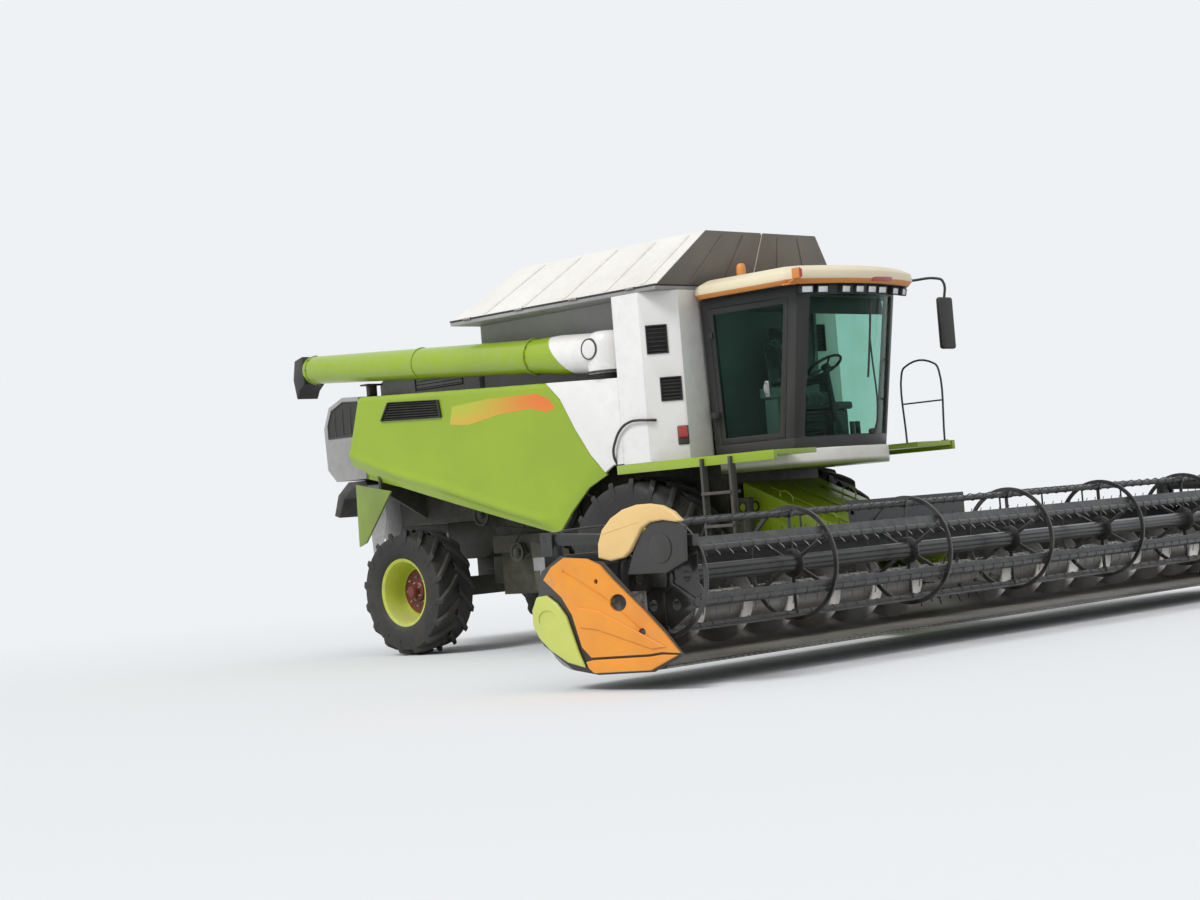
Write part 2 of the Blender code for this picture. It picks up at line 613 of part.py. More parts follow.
HINGE_X = 0.74
HINGE_R = 0.012
HINGE_Y = post_y(HINGE_X, 3.23) + HINGE_R + GAP
door_axis = empty("axis_door", (HINGE_X, -HINGE_Y, SILL_Z), machine)
door = cab_sheet("door_frame", window_outline(0.006), -1.2, -0.3, "black", door_axis, 0.002, 0.045,
                 [window_outline(0.066)])
bm = bmesh.new()
bm.from_mesh(door.data)
bpy.data.objects.remove(door)
lower_r = HINGE_Y - post_y(HINGE_X, 2.40) - GAP
combine("door_frame", bm,
        [disc((HINGE_X, -HINGE_Y), HINGE_R, 3.17, 3.23, "Z", 12), disc((HINGE_X, -HINGE_Y), lower_r, 2.34, 2.40, "Z", 12),
         block(HINGE_X + 0.001, 0.79, -HINGE_Y - 0.008, 0.02 - post_y(HINGE_X, 3.20), 3.17, 3.23),
         block(HINGE_X + 0.001, 0.79, -HINGE_Y - 0.008, 0.02 - post_y(HINGE_X, 2.37), 2.34, 2.40)], "black", door_axis)
cab_sheet("door_glass", window_outline(0.066 + GAP), -1.2, -0.3, "glass", door_axis, 0.018, 0.018 + GLASS_T)
cab_sheet("side_glass_L", window_outline(GAP), 0.3, 1.2, "glass", machine, 0.018, 0.018 + GLASS_T)
front = combine("windscreen", cab_solid(0.018, CAB_Z0, CAB_Z1), [cab_solid(0.018 + GLASS_T, 1.90, 3.60)], "glass",
                machine, "DIFFERENCE")
bm = bmesh.new()
bm.from_mesh(front.data)
bpy.data.objects.remove(front)
combine("windscreen", bm, [block(1.30, 2.60, -0.67 + GAP, 0.67 - GAP, SILL_Z + GAP, HEAD_Z - GAP)], "glass", machine,
        "INTERSECT")


def roof_ring(inset, z):
    """The roof's plan, drawn in by an inset."""
    front, half = 2.16 - inset, 1.02 - inset
    ring = [(0.64 + inset, -half + 0.06, z), (0.74 + inset, -half, z), (1.90 - inset / 2, -half, z)]
    for i in range(0, 9):
        a = -1 + i / 4
        ring.append((front - 0.10 + 0.16 * (1 - a * a), a * (half - 0.10), z))
    return ring + [(1.90 - inset / 2, half, z), (0.74 + inset, half, z), (0.64 + inset, half - 0.06, z)]


mesh_object("cab_roof", loft([roof_ring(0.04, CAB_Z1 + GAP), roof_ring(0.0, CAB_Z1 + 0.06),
                              roof_ring(0.01, CAB_Z1 + 0.14), roof_ring(0.10, CAB_Z1 + ROOF_T)]), "cream", machine)

# Seat and steering column
combine("seat", block(0.98, 1.38, -0.25, 0.25, 2.38, 2.52),
        [prism([(0.90, 2.45), (1.04, 2.45), (0.96, 3.10), (0.84, 3.10)], -0.24, 0.24),
         block(1.08, 1.28, -0.12, 0.12, 2.00 + GAP, 2.40)], "seat", machine)
wheel_ring = ring_solid((0, 0), 0.20, 0.165, -0.015, 0.015, 20)
bmesh.ops.transform(wheel_ring, verts=wheel_ring.verts,
                    matrix=Matrix.Translation((1.52, 0, 2.80)) @ Matrix.Rotation(math.radians(-30), 4, "Y")
                    @ Matrix.Rotation(math.radians(90), 4, "X"))
spoke = rod((1.52 - 0.155, 0, 2.80 - 0.0895), (1.52 + 0.155, 0, 2.80 + 0.0895), 0.015)
combine("steering_column", rod((1.64, 0, 2.03), (1.52, 0, 2.80), 0.035),
        [wheel_ring, spoke, block(1.58, 1.70, -0.06, 0.06, 2.00 + GAP, 2.06)], "black", machine)

# Left mirror on its arm
combine("mirror", block(2.20, 2.26, 1.10, 1.32, 2.90, 3.44),
        [block(1.76, 1.88, 1.02 + GAP, 1.05, CAB_Z1 + 0.05, CAB_Z1 + 0.12),
         rod((1.82, 1.035, CAB_Z1 + 0.085), (2.23, 1.21, 3.55), 0.014), rod((2.23, 1.21, 3.56), (2.23, 1.21, 3.40), 0.014)],
        "black", machine)

# Unloading tube on its turret
swing = empty("axis_unloader", (TUBE_X, -TUBE_Y, TURRET_Z), machine)


def tube_z(x):
    """Height of the unloading tube's centre line."""
    return TUBE_Z + (TUBE_X - x) * TUBE_RISE


def tube_ring(x, radius, sides=20):
    """One cross-section of the unloading tube."""
    return [(x, -TUBE_Y + radius * math.cos(2 * math.pi * i / sides), tube_z(x) + radius * math.sin(2 * math.pi * i / sides))
            for i in range(sides)]


tube = [tube_ring(x, r) for x, r in ((TUBE_X - 0.02, 0.215), (-0.95, 0.215), (-1.30, TUBE_R), (TUBE_END_X, TUBE_END_R))]
dome = []
for z, r in ((TURRET_Z, TURRET_R), (3.22, TURRET_R), (3.32, 0.20), (3.38, 0.13)):
    dome.append([(TUBE_X + r * math.cos(2 * math.pi * i / 24), -TUBE_Y + r * math.sin(2 * math.pi * i / 24), z)
                 for i in range(24)])
combine("unload_tube", loft(dome), [loft(tube)], "green", swing)
zt = tube_z(TUBE_END_X)
spout = [(TUBE_END_X - GAP, zt + 0.17), (-5.52, zt + 0.13), (-5.57, zt - 0.10), (-5.52, 3.15), (-5.46, 3.25),
         (TUBE_END_X - GAP, zt - 0.17)]
mesh_object("unload_spout", prism(spout, -TUBE_Y - 0.16, -TUBE_Y + 0.16), "black", swing)

# Feeder house on its hinge pins
feed = empty("axis_feeder", (FEED_X, 0, FEED_Z), machine)
house = [(0.80, 1.66), (0.80, 1.20), (0.88, 1.08), (2.4347, 0.32), (2.4347, 0.985), (2.30, 1.02)]
mouth = [(1.10, 1.48), (1.10, 1.02), (2.60, 0.29), (2.60, 0.95), (2.30, 0.97)]
house = combine("feeder_house", prism(house, -FEED_Y, FEED_Y),
                [disc((FEED_X, FEED_Z), PIN_R, -RAIL_Y - 0.06, RAIL_Y + 0.06)], "green", feed)
cut(house, [prism([(1.10, 1.45), (1.10, 1.02), (2.60, 0.27), (2.60, 0.93), (2.30, 0.97)], -FEED_Y + 0.03, FEED_Y - 0.03)])

# Header: back sheet, trough and floor in one section, top beam, adapter frame and reel-arm brackets
inner_r, outer_r = AUGER_R + TROUGH_GAP, AUGER_R + TROUGH_GAP + SHEET
arc = [math.radians(180 + 15 * i) for i in range(7)]
section = [(AUGER_X - outer_r, HEAD_TOP - 0.02)]
section += [(AUGER_X + outer_r * math.cos(a), AUGER_Z + outer_r * math.sin(a)) for a in arc]
section += [(LIP_X, AUGER_Z - outer_r), (LIP_X, AUGER_Z - inner_r)]
section += [(AUGER_X + inner_r * math.cos(a), AUGER_Z + inner_r * math.sin(a)) for a in reversed(arc)]
section += [(AUGER_X - inner_r, HEAD_TOP - 0.02)]
extras = [block(2.36, 2.50, -HEAD_Y + GAP, HEAD_Y - GAP, HEAD_TOP - 0.11, HEAD_TOP),
          block(2.38, 2.48, -0.90, 0.90, HEAD_TOP - 0.02, 1.38)]
for side in (-1, 1):
    for y in (ARM_Y - ARM_W / 2 - 0.03, ARM_Y + ARM_W / 2 + 0.005):
        cheek = [(2.36, HEAD_TOP - 0.05), (2.50, HEAD_TOP - 0.05), (2.50, ARM_Z + 0.06), (2.36, ARM_Z + 0.06)]
        extras.append(prism(cheek, side * y, side * (y + 0.025)))
frame = combine("header_frame", prism(section, -HEAD_Y + GAP, HEAD_Y - GAP), extras, "black", feed)
cut(frame, [block(2.30, 2.60, -FEED_Y + 0.03, FEED_Y - 0.03, 0.34, 0.92),
            pin_hole(ARM_X, ARM_Z, ARM_PIN_R, -HEAD_Y + 0.01, HEAD_Y - 0.01)])
end = [(2.40, 0.80), (2.31, 0.60), (2.42, 0.38), (2.76, 0.17), (3.05, 0.13), (3.68, 0.15), (4.02, 0.28),
       (3.84, 0.48), (3.20, 1.05), (2.70, 1.12), (2.46, 1.00)]
for tag, side in (("R", -1), ("L", 1)):
    mesh_object(f"header_end_{tag}", prism(end, side * HEAD_Y, side * (HEAD_Y + END_T)), "orange", feed)

turn = empty("axis_auger", (AUGER_X, 0, AUGER_Z), feed)
combine("table_auger", disc((AUGER_X, AUGER_Z), AUGER_TUBE_R, -HEAD_Y + GAP, HEAD_Y - GAP, sides=20, turn=0.07),
        [flight(-HEAD_Y + 0.05, -0.62, 1), flight(HEAD_Y - 0.05, 0.62, -1)], "steel", turn)

slide = empty("axis_knife", (LIP_X, 0, AUGER_Z - inner_r), feed)
teeth = [(LIP_X - 0.06, -HEAD_Y + 0.06), (LIP_X - 0.06, HEAD_Y - 0.06)]
count = 66
for i in range(count):
    y = HEAD_Y - 0.06 - (i + 0.5) * 2 * (HEAD_Y - 0.06) / count
    half = (HEAD_Y - 0.06) / count
    teeth += [(LIP_X + 0.01, y + half), (LIP_X + 0.09, y)]
teeth.append((LIP_X + 0.01, -HEAD_Y + 0.06))
mesh_object("knife", prism(teeth, AUGER_Z - inner_r + GAP, AUGER_Z - inner_r + 0.008, "Z"), "steel", slide)

# Reel arms, carriages, guard and reel
lift = empty("axis_reel_lift", (ARM_X, 0, ARM_Z), feed)
fore = empty("axis_reel_fore", (REEL_X, 0, REEL_Z), lift)
reel_axis = empty("axis_reel", (REEL_X, 0, REEL_Z), fore)
ARM_SLOPE = -0.048


def arm_z(x, offset):
    """Height of a line along the reel arm."""
    return ARM_Z + offset + (x - ARM_X) * ARM_SLOPE


arm = [(2.385, arm_z(2.385, -0.05)), (4.08, arm_z(4.08, -0.05)), (4.08, arm_z(4.08, 0.04)), (2.385, arm_z(2.385, 0.05))]
shoe = [(x, arm_z(x, o)) for x, o in ((REEL_X - 0.16, -0.05 - GAP), (REEL_X - 0.16, -0.09), (REEL_X + 0.16, -0.09),
                                      (REEL_X + 0.16, -0.05 - GAP))]
plate = [(REEL_X - 0.12, arm_z(REEL_X - 0.12, -0.06)), (REEL_X - 0.07, REEL_Z - 0.08), (REEL_X + 0.07, REEL_Z - 0.08),
         (REEL_X + 0.12, arm_z(REEL_X + 0.12, -0.06))]
for tag, side in (("R", -1), ("L", 1)):
    y0, y1 = side * (ARM_Y - ARM_W / 2), side * (ARM_Y + ARM_W / 2)
    combine(f"reel_arm_{tag}", prism(arm, y0, y1),
            [disc((ARM_X, ARM_Z), ARM_PIN_R, side * (ARM_Y - ARM_W / 2 - 0.03), side * (ARM_Y + ARM_W / 2 + 0.03))],
            "black", lift)
    combine(f"reel_carriage_{tag}", prism(shoe, side * (REEL_Y + GAP), side * 5.07),
            [prism(plate, side * (REEL_Y + GAP), side * (REEL_Y + 0.025))], "black", fore)
guard = [(3.10, 1.00), (3.16, 1.32), (3.30, 1.45), (3.52, 1.50), (3.78, 1.46), (3.98, 1.34), (4.10, 1.14), (4.12, 0.98),
         (3.80, 0.90)]
mesh_object("reel_drive_guard", prism(guard, -5.13, -5.0703), "cream", fore)

parts = []
for k in range(SPIDERS):
    y = -REEL_Y + 0.02 + k * (2 * REEL_Y - 0.04) / (SPIDERS - 1)
    parts.append(ring_solid((REEL_X, REEL_Z), 0.40, 0.36, y - 0.012, y + 0.012))
    for i in range(BATS // 2):
        a = math.pi * i / (BATS // 2)
        c, n = math.cos(a), math.sin(a)
        w, length = 0.02, 0.41
        bar = [(REEL_X + length * c - w * n, REEL_Z + length * n + w * c),
               (REEL_X - length * c - w * n, REEL_Z - length * n + w * c),
               (REEL_X - length * c + w * n, REEL_Z - length * n - w * c),
               (REEL_X + length * c + w * n, REEL_Z + length * n - w * c)]
        parts.append(prism(bar, y - 0.010, y + 0.010))
for i in range(BATS):
    a = 2 * math.pi * i / BATS
    c, n = math.cos(a), math.sin(a)
    bat = [(REEL_X + r * c - w * n, REEL_Z + r * n + w * c) for r, w in ((0.38, -0.01), (0.50, 0.05), (0.495, 0.065), (0.38, 0.012))]
    parts.append(prism(bat, -REEL_Y + 0.004, REEL_Y - 0.004))
combine("reel", disc((REEL_X, REEL_Z), 0.075, -REEL_Y, REEL_Y, sides=16), parts, "black", reel_axis)
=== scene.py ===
import json
import math

import bpy
from mathutils import Matrix, Vector


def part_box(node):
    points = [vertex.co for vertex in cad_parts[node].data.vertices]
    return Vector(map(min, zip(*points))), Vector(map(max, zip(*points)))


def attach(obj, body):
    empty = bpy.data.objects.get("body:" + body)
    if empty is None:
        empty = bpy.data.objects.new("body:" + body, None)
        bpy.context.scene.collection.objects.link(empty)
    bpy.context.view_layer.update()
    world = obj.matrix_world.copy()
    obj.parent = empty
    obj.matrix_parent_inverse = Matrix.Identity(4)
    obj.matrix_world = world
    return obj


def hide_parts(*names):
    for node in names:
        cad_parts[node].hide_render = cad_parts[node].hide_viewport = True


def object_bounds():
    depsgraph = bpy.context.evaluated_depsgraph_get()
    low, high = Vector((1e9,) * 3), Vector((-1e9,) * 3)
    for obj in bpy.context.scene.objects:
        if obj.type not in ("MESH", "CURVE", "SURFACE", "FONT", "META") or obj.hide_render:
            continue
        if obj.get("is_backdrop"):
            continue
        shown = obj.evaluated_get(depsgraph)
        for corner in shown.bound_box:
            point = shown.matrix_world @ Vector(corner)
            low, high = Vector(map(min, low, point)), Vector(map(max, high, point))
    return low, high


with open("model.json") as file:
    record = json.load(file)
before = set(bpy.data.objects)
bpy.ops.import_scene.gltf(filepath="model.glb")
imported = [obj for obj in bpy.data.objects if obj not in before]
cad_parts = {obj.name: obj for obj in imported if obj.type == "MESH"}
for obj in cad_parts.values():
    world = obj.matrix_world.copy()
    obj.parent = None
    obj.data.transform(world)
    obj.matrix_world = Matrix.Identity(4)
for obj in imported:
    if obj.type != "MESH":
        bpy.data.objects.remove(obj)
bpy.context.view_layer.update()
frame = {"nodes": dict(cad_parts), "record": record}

# Camera, floor and light. The camera stands low at the machine's right front corner.
# The floor is a pale disc that fades into the white surround, and one soft lamp lights the right side.
AXLE = 0.74  # place of the front axle along the machine
LENS = 64.72
yaw, pitch, roll = 0.78365, 0.03177, -0.08104
forward = Vector((-math.sin(yaw) * math.cos(pitch), math.cos(yaw) * math.cos(pitch), math.sin(pitch)))
right = Vector((math.cos(yaw), math.sin(yaw), 0))
above = right.cross(forward)
across = math.cos(roll) * right + math.sin(roll) * above
upright = math.cos(roll) * above - math.sin(roll) * right
bpy.ops.object.select_all(action="DESELECT")
bpy.ops.object.camera_add()
camera = bpy.context.object
camera.name = "camera"
camera.data.lens = LENS
camera.data.clip_end = 300
camera.matrix_world = Matrix.Translation((16.39, -17.585, 1.4026)) @ Matrix(
    (across, upright, -forward)).transposed().to_4x4()
bpy.context.scene.camera = camera
bpy.context.scene.view_settings.view_transform = "Standard"


def joint_node(tree, kind, **settings):
    """One node of a material or a shader group, with its own settings."""
    made = tree.nodes.new(kind)
    for name, value in settings.items():
        if name in made.inputs:
            made.inputs[name].default_value = value
        else:
            setattr(made, name, value)
    return made


def wire(tree, *pairs):
    """Joins outputs to inputs."""
    for source, target in pairs:
        tree.links.new(source, target)


def pattern(tree, place, kind, **settings):
    """A texture laid out in the piece's own coordinates."""
    made = joint_node(tree, "ShaderNodeTex" + kind, **settings)
    wire(tree, (place.outputs["Object"], made.inputs["Vector"]))
    return made


def tune(node, **values):
    """Sets inputs of a node; an underscore stands for the space in an input's name."""
    for label, value in values.items():
        node.inputs[label.replace("_", " ")].default_value = value


def finish_tree(name):
    """A new finish: its material, tree and surface shader, and the coordinates of its piece."""
    made = bpy.data.materials.new(name)
    made.use_nodes = True
    tree = made.node_tree
    return made, tree, tree.nodes["Principled BSDF"], joint_node(tree, "ShaderNodeTexCoord")


world = bpy.data.worlds.new("surround")
bpy.context.scene.world = world
world.use_nodes = True
tree = world.node_tree
tree.nodes.clear()
rays = joint_node(tree, "ShaderNodeLightPath")
seen = joint_node(tree, "ShaderNodeMath", operation="MAXIMUM")
seen_all = joint_node(tree, "ShaderNodeMath", operation="MAXIMUM")
soft = joint_node(tree, "ShaderNodeBackground", Strength=0.62)
tune(soft, Color=(1.0, 1.0, 1.0, 1))
white = joint_node(tree, "ShaderNodeBackground", Strength=1.0)
tune(white, Color=(0.86, 0.885, 0.91, 1))
choice = joint_node(tree, "ShaderNodeMixShader")
out = joint_node(tree, "ShaderNodeOutputWorld")
wire(
    tree, (rays.outputs["Is Camera Ray"], seen.inputs[0]),
    (rays.outputs["Is Transmission Ray"], seen.inputs[1]), (seen.outputs[0], seen_all.inputs[0]),
    (rays.outputs["Is Glossy Ray"], seen_all.inputs[1]), (seen_all.outputs[0], choice.inputs[0]),
    (soft.outputs[0], choice.inputs[1]), (white.outputs[0], choice.inputs[2]),
    (choice.outputs[0], out.inputs["Surface"]))

bpy.ops.object.light_add(type="SUN", location=(0, -8, 12))
lamp = bpy.context.object
lamp.name = "key_lamp"
lamp.data.energy = 1.75
lamp.data.angle = math.radians(22)
lamp.rotation_euler = Vector((-0.10, -0.72, 0.80)).to_track_quat("Z", "Y").to_euler()

bpy.ops.mesh.primitive_circle_add(vertices=96, radius=26, fill_type="NGON", location=(0, 0, -0.004))
floor = bpy.context.object
floor.name = "floor"
floor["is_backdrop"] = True
floor_finish, tree, shader, place = finish_tree("pale_floor")
tune(shader, Base_Color=(0.80, 0.82, 0.84, 1), Roughness=0.9, Specular_IOR_Level=0.0)
reach = joint_node(tree, "ShaderNodeVectorMath", operation="LENGTH")
fade = joint_node(tree, "ShaderNodeMapRange", interpolation_type="SMOOTHSTEP")
tune(fade, From_Min=8.0, From_Max=20.0, To_Min=1.0, To_Max=0.0)
wire(
    tree, (place.outputs["Object"], reach.inputs[0]), (reach.outputs["Value"], fade.inputs["Value"]),
    (fade.outputs["Result"], shader.inputs["Alpha"]))
floor.data.materials.append(floor_finish)

# Chassis, axles, threshing body and engine. Welded steel box sections and folded sheet,
# painted black or grey, bolted together under the machine and dusty from the field.


def effect(name, inputs, output):
    """A shader group for a finish shared by several pieces, with one value that varies over the surface."""
    made = bpy.data.node_groups.new(name, "ShaderNodeTree")
    for label, value in inputs:
        socket = made.interface.new_socket(name=label, in_out="INPUT", socket_type="NodeSocketFloat")
        socket.default_value = value
    made.interface.new_socket(name=output, in_out="OUTPUT", socket_type="NodeSocketFloat")
    return made, joint_node(made, "NodeGroupInput"), joint_node(made, "NodeGroupOutput")


def ranged(tree, source, low, high, to_low=0.0, to_high=1.0, soft=True):
    """Remaps a value; the ends may be numbers or sockets."""
    made = joint_node(tree, "ShaderNodeMapRange", interpolation_type="SMOOTHSTEP" if soft else "LINEAR")
    wire(tree, (source, made.inputs["Value"]))
    for label, value in (("From Min", low), ("From Max", high), ("To Min", to_low), ("To Max", to_high)):
        if isinstance(value, (int, float)):
            made.inputs[label].default_value = value
        else:
            wire(tree, (value, made.inputs[label]))
    return made.outputs["Result"]


def times(tree, a, b, operation="MULTIPLY"):
    """Two values combined; each may be a number or a socket."""
    made = joint_node(tree, "ShaderNodeMath", operation=operation, use_clamp=True)
    for socket, value in zip(made.inputs, (a, b)):
        if isinstance(value, (int, float)):
            socket.default_value = value
        else:
            wire(tree, (value, socket))
    return made.outputs[0]


# field dust: most on faces that look up and low on the machine, broken into patches
dust_tree, given, result = effect("field_dust", [("Amount", 0.3), ("Top", 2.6), ("Scale", 1.3)], "Mask")
place = joint_node(dust_tree, "ShaderNodeTexCoord")
parts = joint_node(dust_tree, "ShaderNodeSeparateXYZ")
facing = joint_node(dust_tree, "ShaderNodeNewGeometry")
lie = joint_node(dust_tree, "ShaderNodeSeparateXYZ")
patch = pattern(dust_tree, place, "Noise", Detail=4.0, Roughness=0.55)
speck = pattern(dust_tree, place, "Noise", Scale=38.0, Detail=3.0)
wire(
    dust_tree, (place.outputs["Object"], parts.inputs[0]), (given.outputs["Scale"], patch.inputs["Scale"]),
    (facing.outputs["Normal"], lie.inputs[0]))
low = ranged(dust_tree, parts.outputs["Z"], 0.1, given.outputs["Top"], 1.0, 0.08)
flat = ranged(dust_tree, lie.outputs["Z"], 0.15, 0.95, 0.30, 1.0)
patches = ranged(dust_tree, patch.outputs["Fac"], 0.25, 0.85, 0.15, 1.0)
specks = ranged(dust_tree, speck.outputs["Fac"], 0.30, 0.75, 0.80, 1.0)
mask = times(dust_tree, times(dust_tree, low, flat), times(dust_tree, patches, specks))
strong = times(dust_tree, mask, 2.2)
wire(dust_tree, (times(dust_tree, strong, given.outputs["Amount"]), result.inputs["Mask"]))

# worn edges: paint rubbed through where the surface turns sharply outward
wear_tree, given, result = effect("edge_wear", [("Amount", 0.3), ("Scale", 9.0)], "Mask")
turn = joint_node(wear_tree, "ShaderNodeNewGeometry")
place = joint_node(wear_tree, "ShaderNodeTexCoord")
chips = pattern(wear_tree, place, "Noise", Detail=5.0, Roughness=0.7)
wire(wear_tree, (given.outputs["Scale"], chips.inputs["Scale"]))
edge = ranged(wear_tree, turn.outputs["Pointiness"], 0.515, 0.60)
broken = ranged(wear_tree, chips.outputs["Fac"], 0.42, 0.62)
wire(
    wear_tree,
    (times(wear_tree, times(wear_tree, edge, broken), given.outputs["Amount"]), result.inputs["Mask"]))

# sprayed and pressed sheet: fine orange peel over slow waves in the sheet
skin_tree, given, result = effect("sheet_skin", [("Peel", 0.3), ("Wave", 0.5)], "Height")
place = joint_node(skin_tree, "ShaderNodeTexCoord")
peel = pattern(skin_tree, place, "Noise", Scale=210.0, Detail=2.0)
wave = pattern(skin_tree, place, "Noise", Scale=1.6, Detail=1.0)
fine = times(skin_tree, peel.outputs["Fac"], given.outputs["Peel"])
slow = times(skin_tree, wave.outputs["Fac"], given.outputs["Wave"])
wire(skin_tree, (times(skin_tree, fine, slow, "ADD"), result.inputs["Height"]))

DUST_COLOUR = (0.42, 0.36, 0.25, 1)


def placed(tree, group, **values):
    """A shared effect placed in one material with its own amounts."""
    made = joint_node(tree, "ShaderNodeGroup", node_tree=group)
    for label, value in values.items():
        made.inputs[label].default_value = value
    return made


def blended(tree, mask, first, second):
    """Two colours mixed by a mask; each colour may be a value or a socket."""
    made = joint_node(tree, "ShaderNodeMix", data_type="RGBA")
    wire(tree, (mask, made.inputs["Factor"]))
    colour_in = [s for s in made.inputs if s.type == "RGBA"]
    for socket, value in zip(colour_in, (first, second)):
        if isinstance(value, tuple):
            socket.default_value = value if len(value) == 4 else (*value, 1)
        else:
            wire(tree, (value, socket))
    return next(s for s in made.outputs if s.type == "RGBA")


def painted(
    name, colour, faded, under=(0.20, 0.19, 0.18), rough=0.32, metal=0.0, coat=0.0, dust=0.3, top=2.8,
    wear=0.4, peel=0.3, wave=0.5, bump=0.12
):
    """A sprayed or moulded finish: its colour drifts to a faded one, with dust, worn edges and a skin."""
    made, tree, shader, place = finish_tree(name)
    drift = pattern(tree, place, "Noise", Scale=0.9, Detail=4.0, Roughness=0.6)
    dusty = placed(tree, dust_tree, Amount=dust, Top=top)
    worn = placed(tree, wear_tree, Amount=wear)
    skin = placed(tree, skin_tree, Peel=peel, Wave=wave)
    base = blended(tree, ranged(tree, drift.outputs["Fac"], 0.35, 0.68), colour, faded)
    rubbed = blended(tree, worn.outputs["Mask"], base, under)
    final = blended(tree, dusty.outputs["Mask"], rubbed, DUST_COLOUR)
    dull = times(
        tree, times(tree, dusty.outputs["Mask"], 0.55), times(tree, drift.outputs["Fac"], 0.10), "ADD")
    height = joint_node(tree, "ShaderNodeBump", Strength=bump, Distance=0.01)
    wire(
        tree, (final, shader.inputs["Base Color"]),
        (times(tree, dull, rough, "ADD"), shader.inputs["Roughness"]),
        (skin.outputs["Height"], height.inputs["Height"]),
        (height.outputs["Normal"], shader.inputs["Normal"]))
    tune(shader, Metallic=metal, Coat_Weight=coat, Coat_Roughness=0.12)
    return made


black_paint = painted(
    "black_paint", (0.022, 0.022, 0.024), (0.040, 0.039, 0.038), under=(0.16, 0.12, 0.09), rough=0.42,
    dust=0.40)
grey_paint = painted("grey_paint", (0.36, 0.365, 0.36), (0.29, 0.29, 0.28), rough=0.42, dust=0.40)
frame_paint = painted(
    "frame_paint", (0.024, 0.026, 0.018), (0.042, 0.044, 0.030), under=(0.09, 0.08, 0.06), rough=0.50,
    dust=0.26, top=2.4)
LIME = (0.298, 0.438, 0.007)
green_paint = painted(
    "green_paint", LIME, (0.270, 0.398, 0.010), under=(0.36, 0.40, 0.24), rough=0.24, coat=0.3, dust=0.07,
    wear=0.25, peel=0.25)
# painted shade: the rear shields take a darker olive green than the body's green, for the shade under the
# panels
shield_green_painted_shade = painted(
    "shield_green_painted_shade", (0.205, 0.300, 0.030), (0.150, 0.215, 0.030), under=(0.20, 0.22, 0.16), rough=0.36,
    coat=0.2, dust=0.22, wear=0.2)
white_paint = painted(
    "white_paint", (0.89, 0.88, 0.86), (0.84, 0.83, 0.81), under=(0.32, 0.33, 0.32), rough=0.28, coat=0.4,
    dust=0.12, peel=0.25)
rim_paint = painted(
    "rim_paint", (0.50, 0.58, 0.035), (0.42, 0.50, 0.04), under=(0.30, 0.24, 0.18), rough=0.32, dust=0.45,
    top=1.6)
steel_finish = painted(
    "bare_steel", (0.42, 0.42, 0.43), (0.30, 0.28, 0.26), under=(0.6, 0.6, 0.6), rough=0.36, metal=0.85,
    dust=0.35, top=1.8)


def clear():
    """Leaves nothing selected, so that an operator acts only on what is picked next."""
    bpy.ops.object.select_all(action="DESELECT")


def pick(*pieces):
    """Selects these pieces and makes the first one active."""
    clear()
    for piece in pieces:
        piece.select_set(True)
    bpy.context.view_layer.objects.active = pieces[0]


def apply(piece, name):
    """Applies one modifier by name."""
    pick(piece)
    bpy.ops.object.modifier_apply(modifier=name)


def rounded(piece, width=0.006, steps=2, angle=32):
    """Breaks the piece's sharp edges with a small bevel."""
    change = piece.modifiers.new("edge", "BEVEL")
    change.width = width
    change.segments = steps
    change.limit_method = "ANGLE"
    change.angle_limit = math.radians(angle)
    change.use_clamp_overlap = True
    apply(piece, "edge")
    return piece


def merged_copy(node, name):
    """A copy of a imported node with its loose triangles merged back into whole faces."""
    source = frame["nodes"][node]
    piece = bpy.data.objects.new(name, source.data.copy())
    bpy.context.scene.collection.objects.link(piece)
    piece.data.materials.clear()
    pick(piece)
    bpy.ops.object.mode_set(mode="EDIT")
    bpy.ops.mesh.select_all(action="SELECT")
    bpy.ops.mesh.remove_doubles(threshold=0.00002)
    bpy.ops.mesh.dissolve_limited(angle_limit=math.radians(1.5))
    bpy.ops.object.mode_set(mode="OBJECT")
    return piece


def patched(piece, finish, where):
    """Gives another finish to the faces that pass a test."""
    piece.data.materials.append(finish)
    for face in piece.data.polygons:
        if where(face):
            face.material_index = len(piece.data.materials) - 1


def settle(piece, body, finish, stands_for=(), angle=34):
    """Last steps of every piece: smooth curved faces, its finish, and the body that carries it."""
    pick(piece)
    bpy.ops.object.shade_smooth_by_angle(angle=math.radians(angle))
    piece.data.materials.clear()
    piece.data.materials.append(finish)
    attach(piece, body)
    if stands_for:
        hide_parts(*stands_for)
    return piece


BODY_OF = {node: body for body, nodes in frame["record"]["behaviour"]["bodies"].items() for node in nodes}
for node, finish, slot, edge in (
    ("chassis", frame_paint, "black", 0.006), ("front_axle", frame_paint, "black", 0.008),
    ("rear_axle", frame_paint, "black", 0.008), ("rear_axle_frame", frame_paint, "black", 0.006),
    ("knuckle_L", frame_paint, "black", 0.006), ("knuckle_R", frame_paint, "black", 0.006),
    ("threshing_body", frame_paint, "grey", 0.004), ("engine_block", black_paint, "black", 0.02),
    ("engine_hood", grey_paint, "grey", 0.012), ("straw_hood", grey_paint, "grey", 0.012),
    ("chopper", grey_paint, "grey", 0.008), ("spreader", black_paint, "black", 0.010),
    ("rear_shield_L", shield_green_painted_shade, "green", 0.004), ("rear_shield_R", shield_green_painted_shade, "green", 0.004)
):
    piece = rounded(merged_copy(node, node + "_shell"), edge)
    settle(piece, BODY_OF[node], finish, [node])

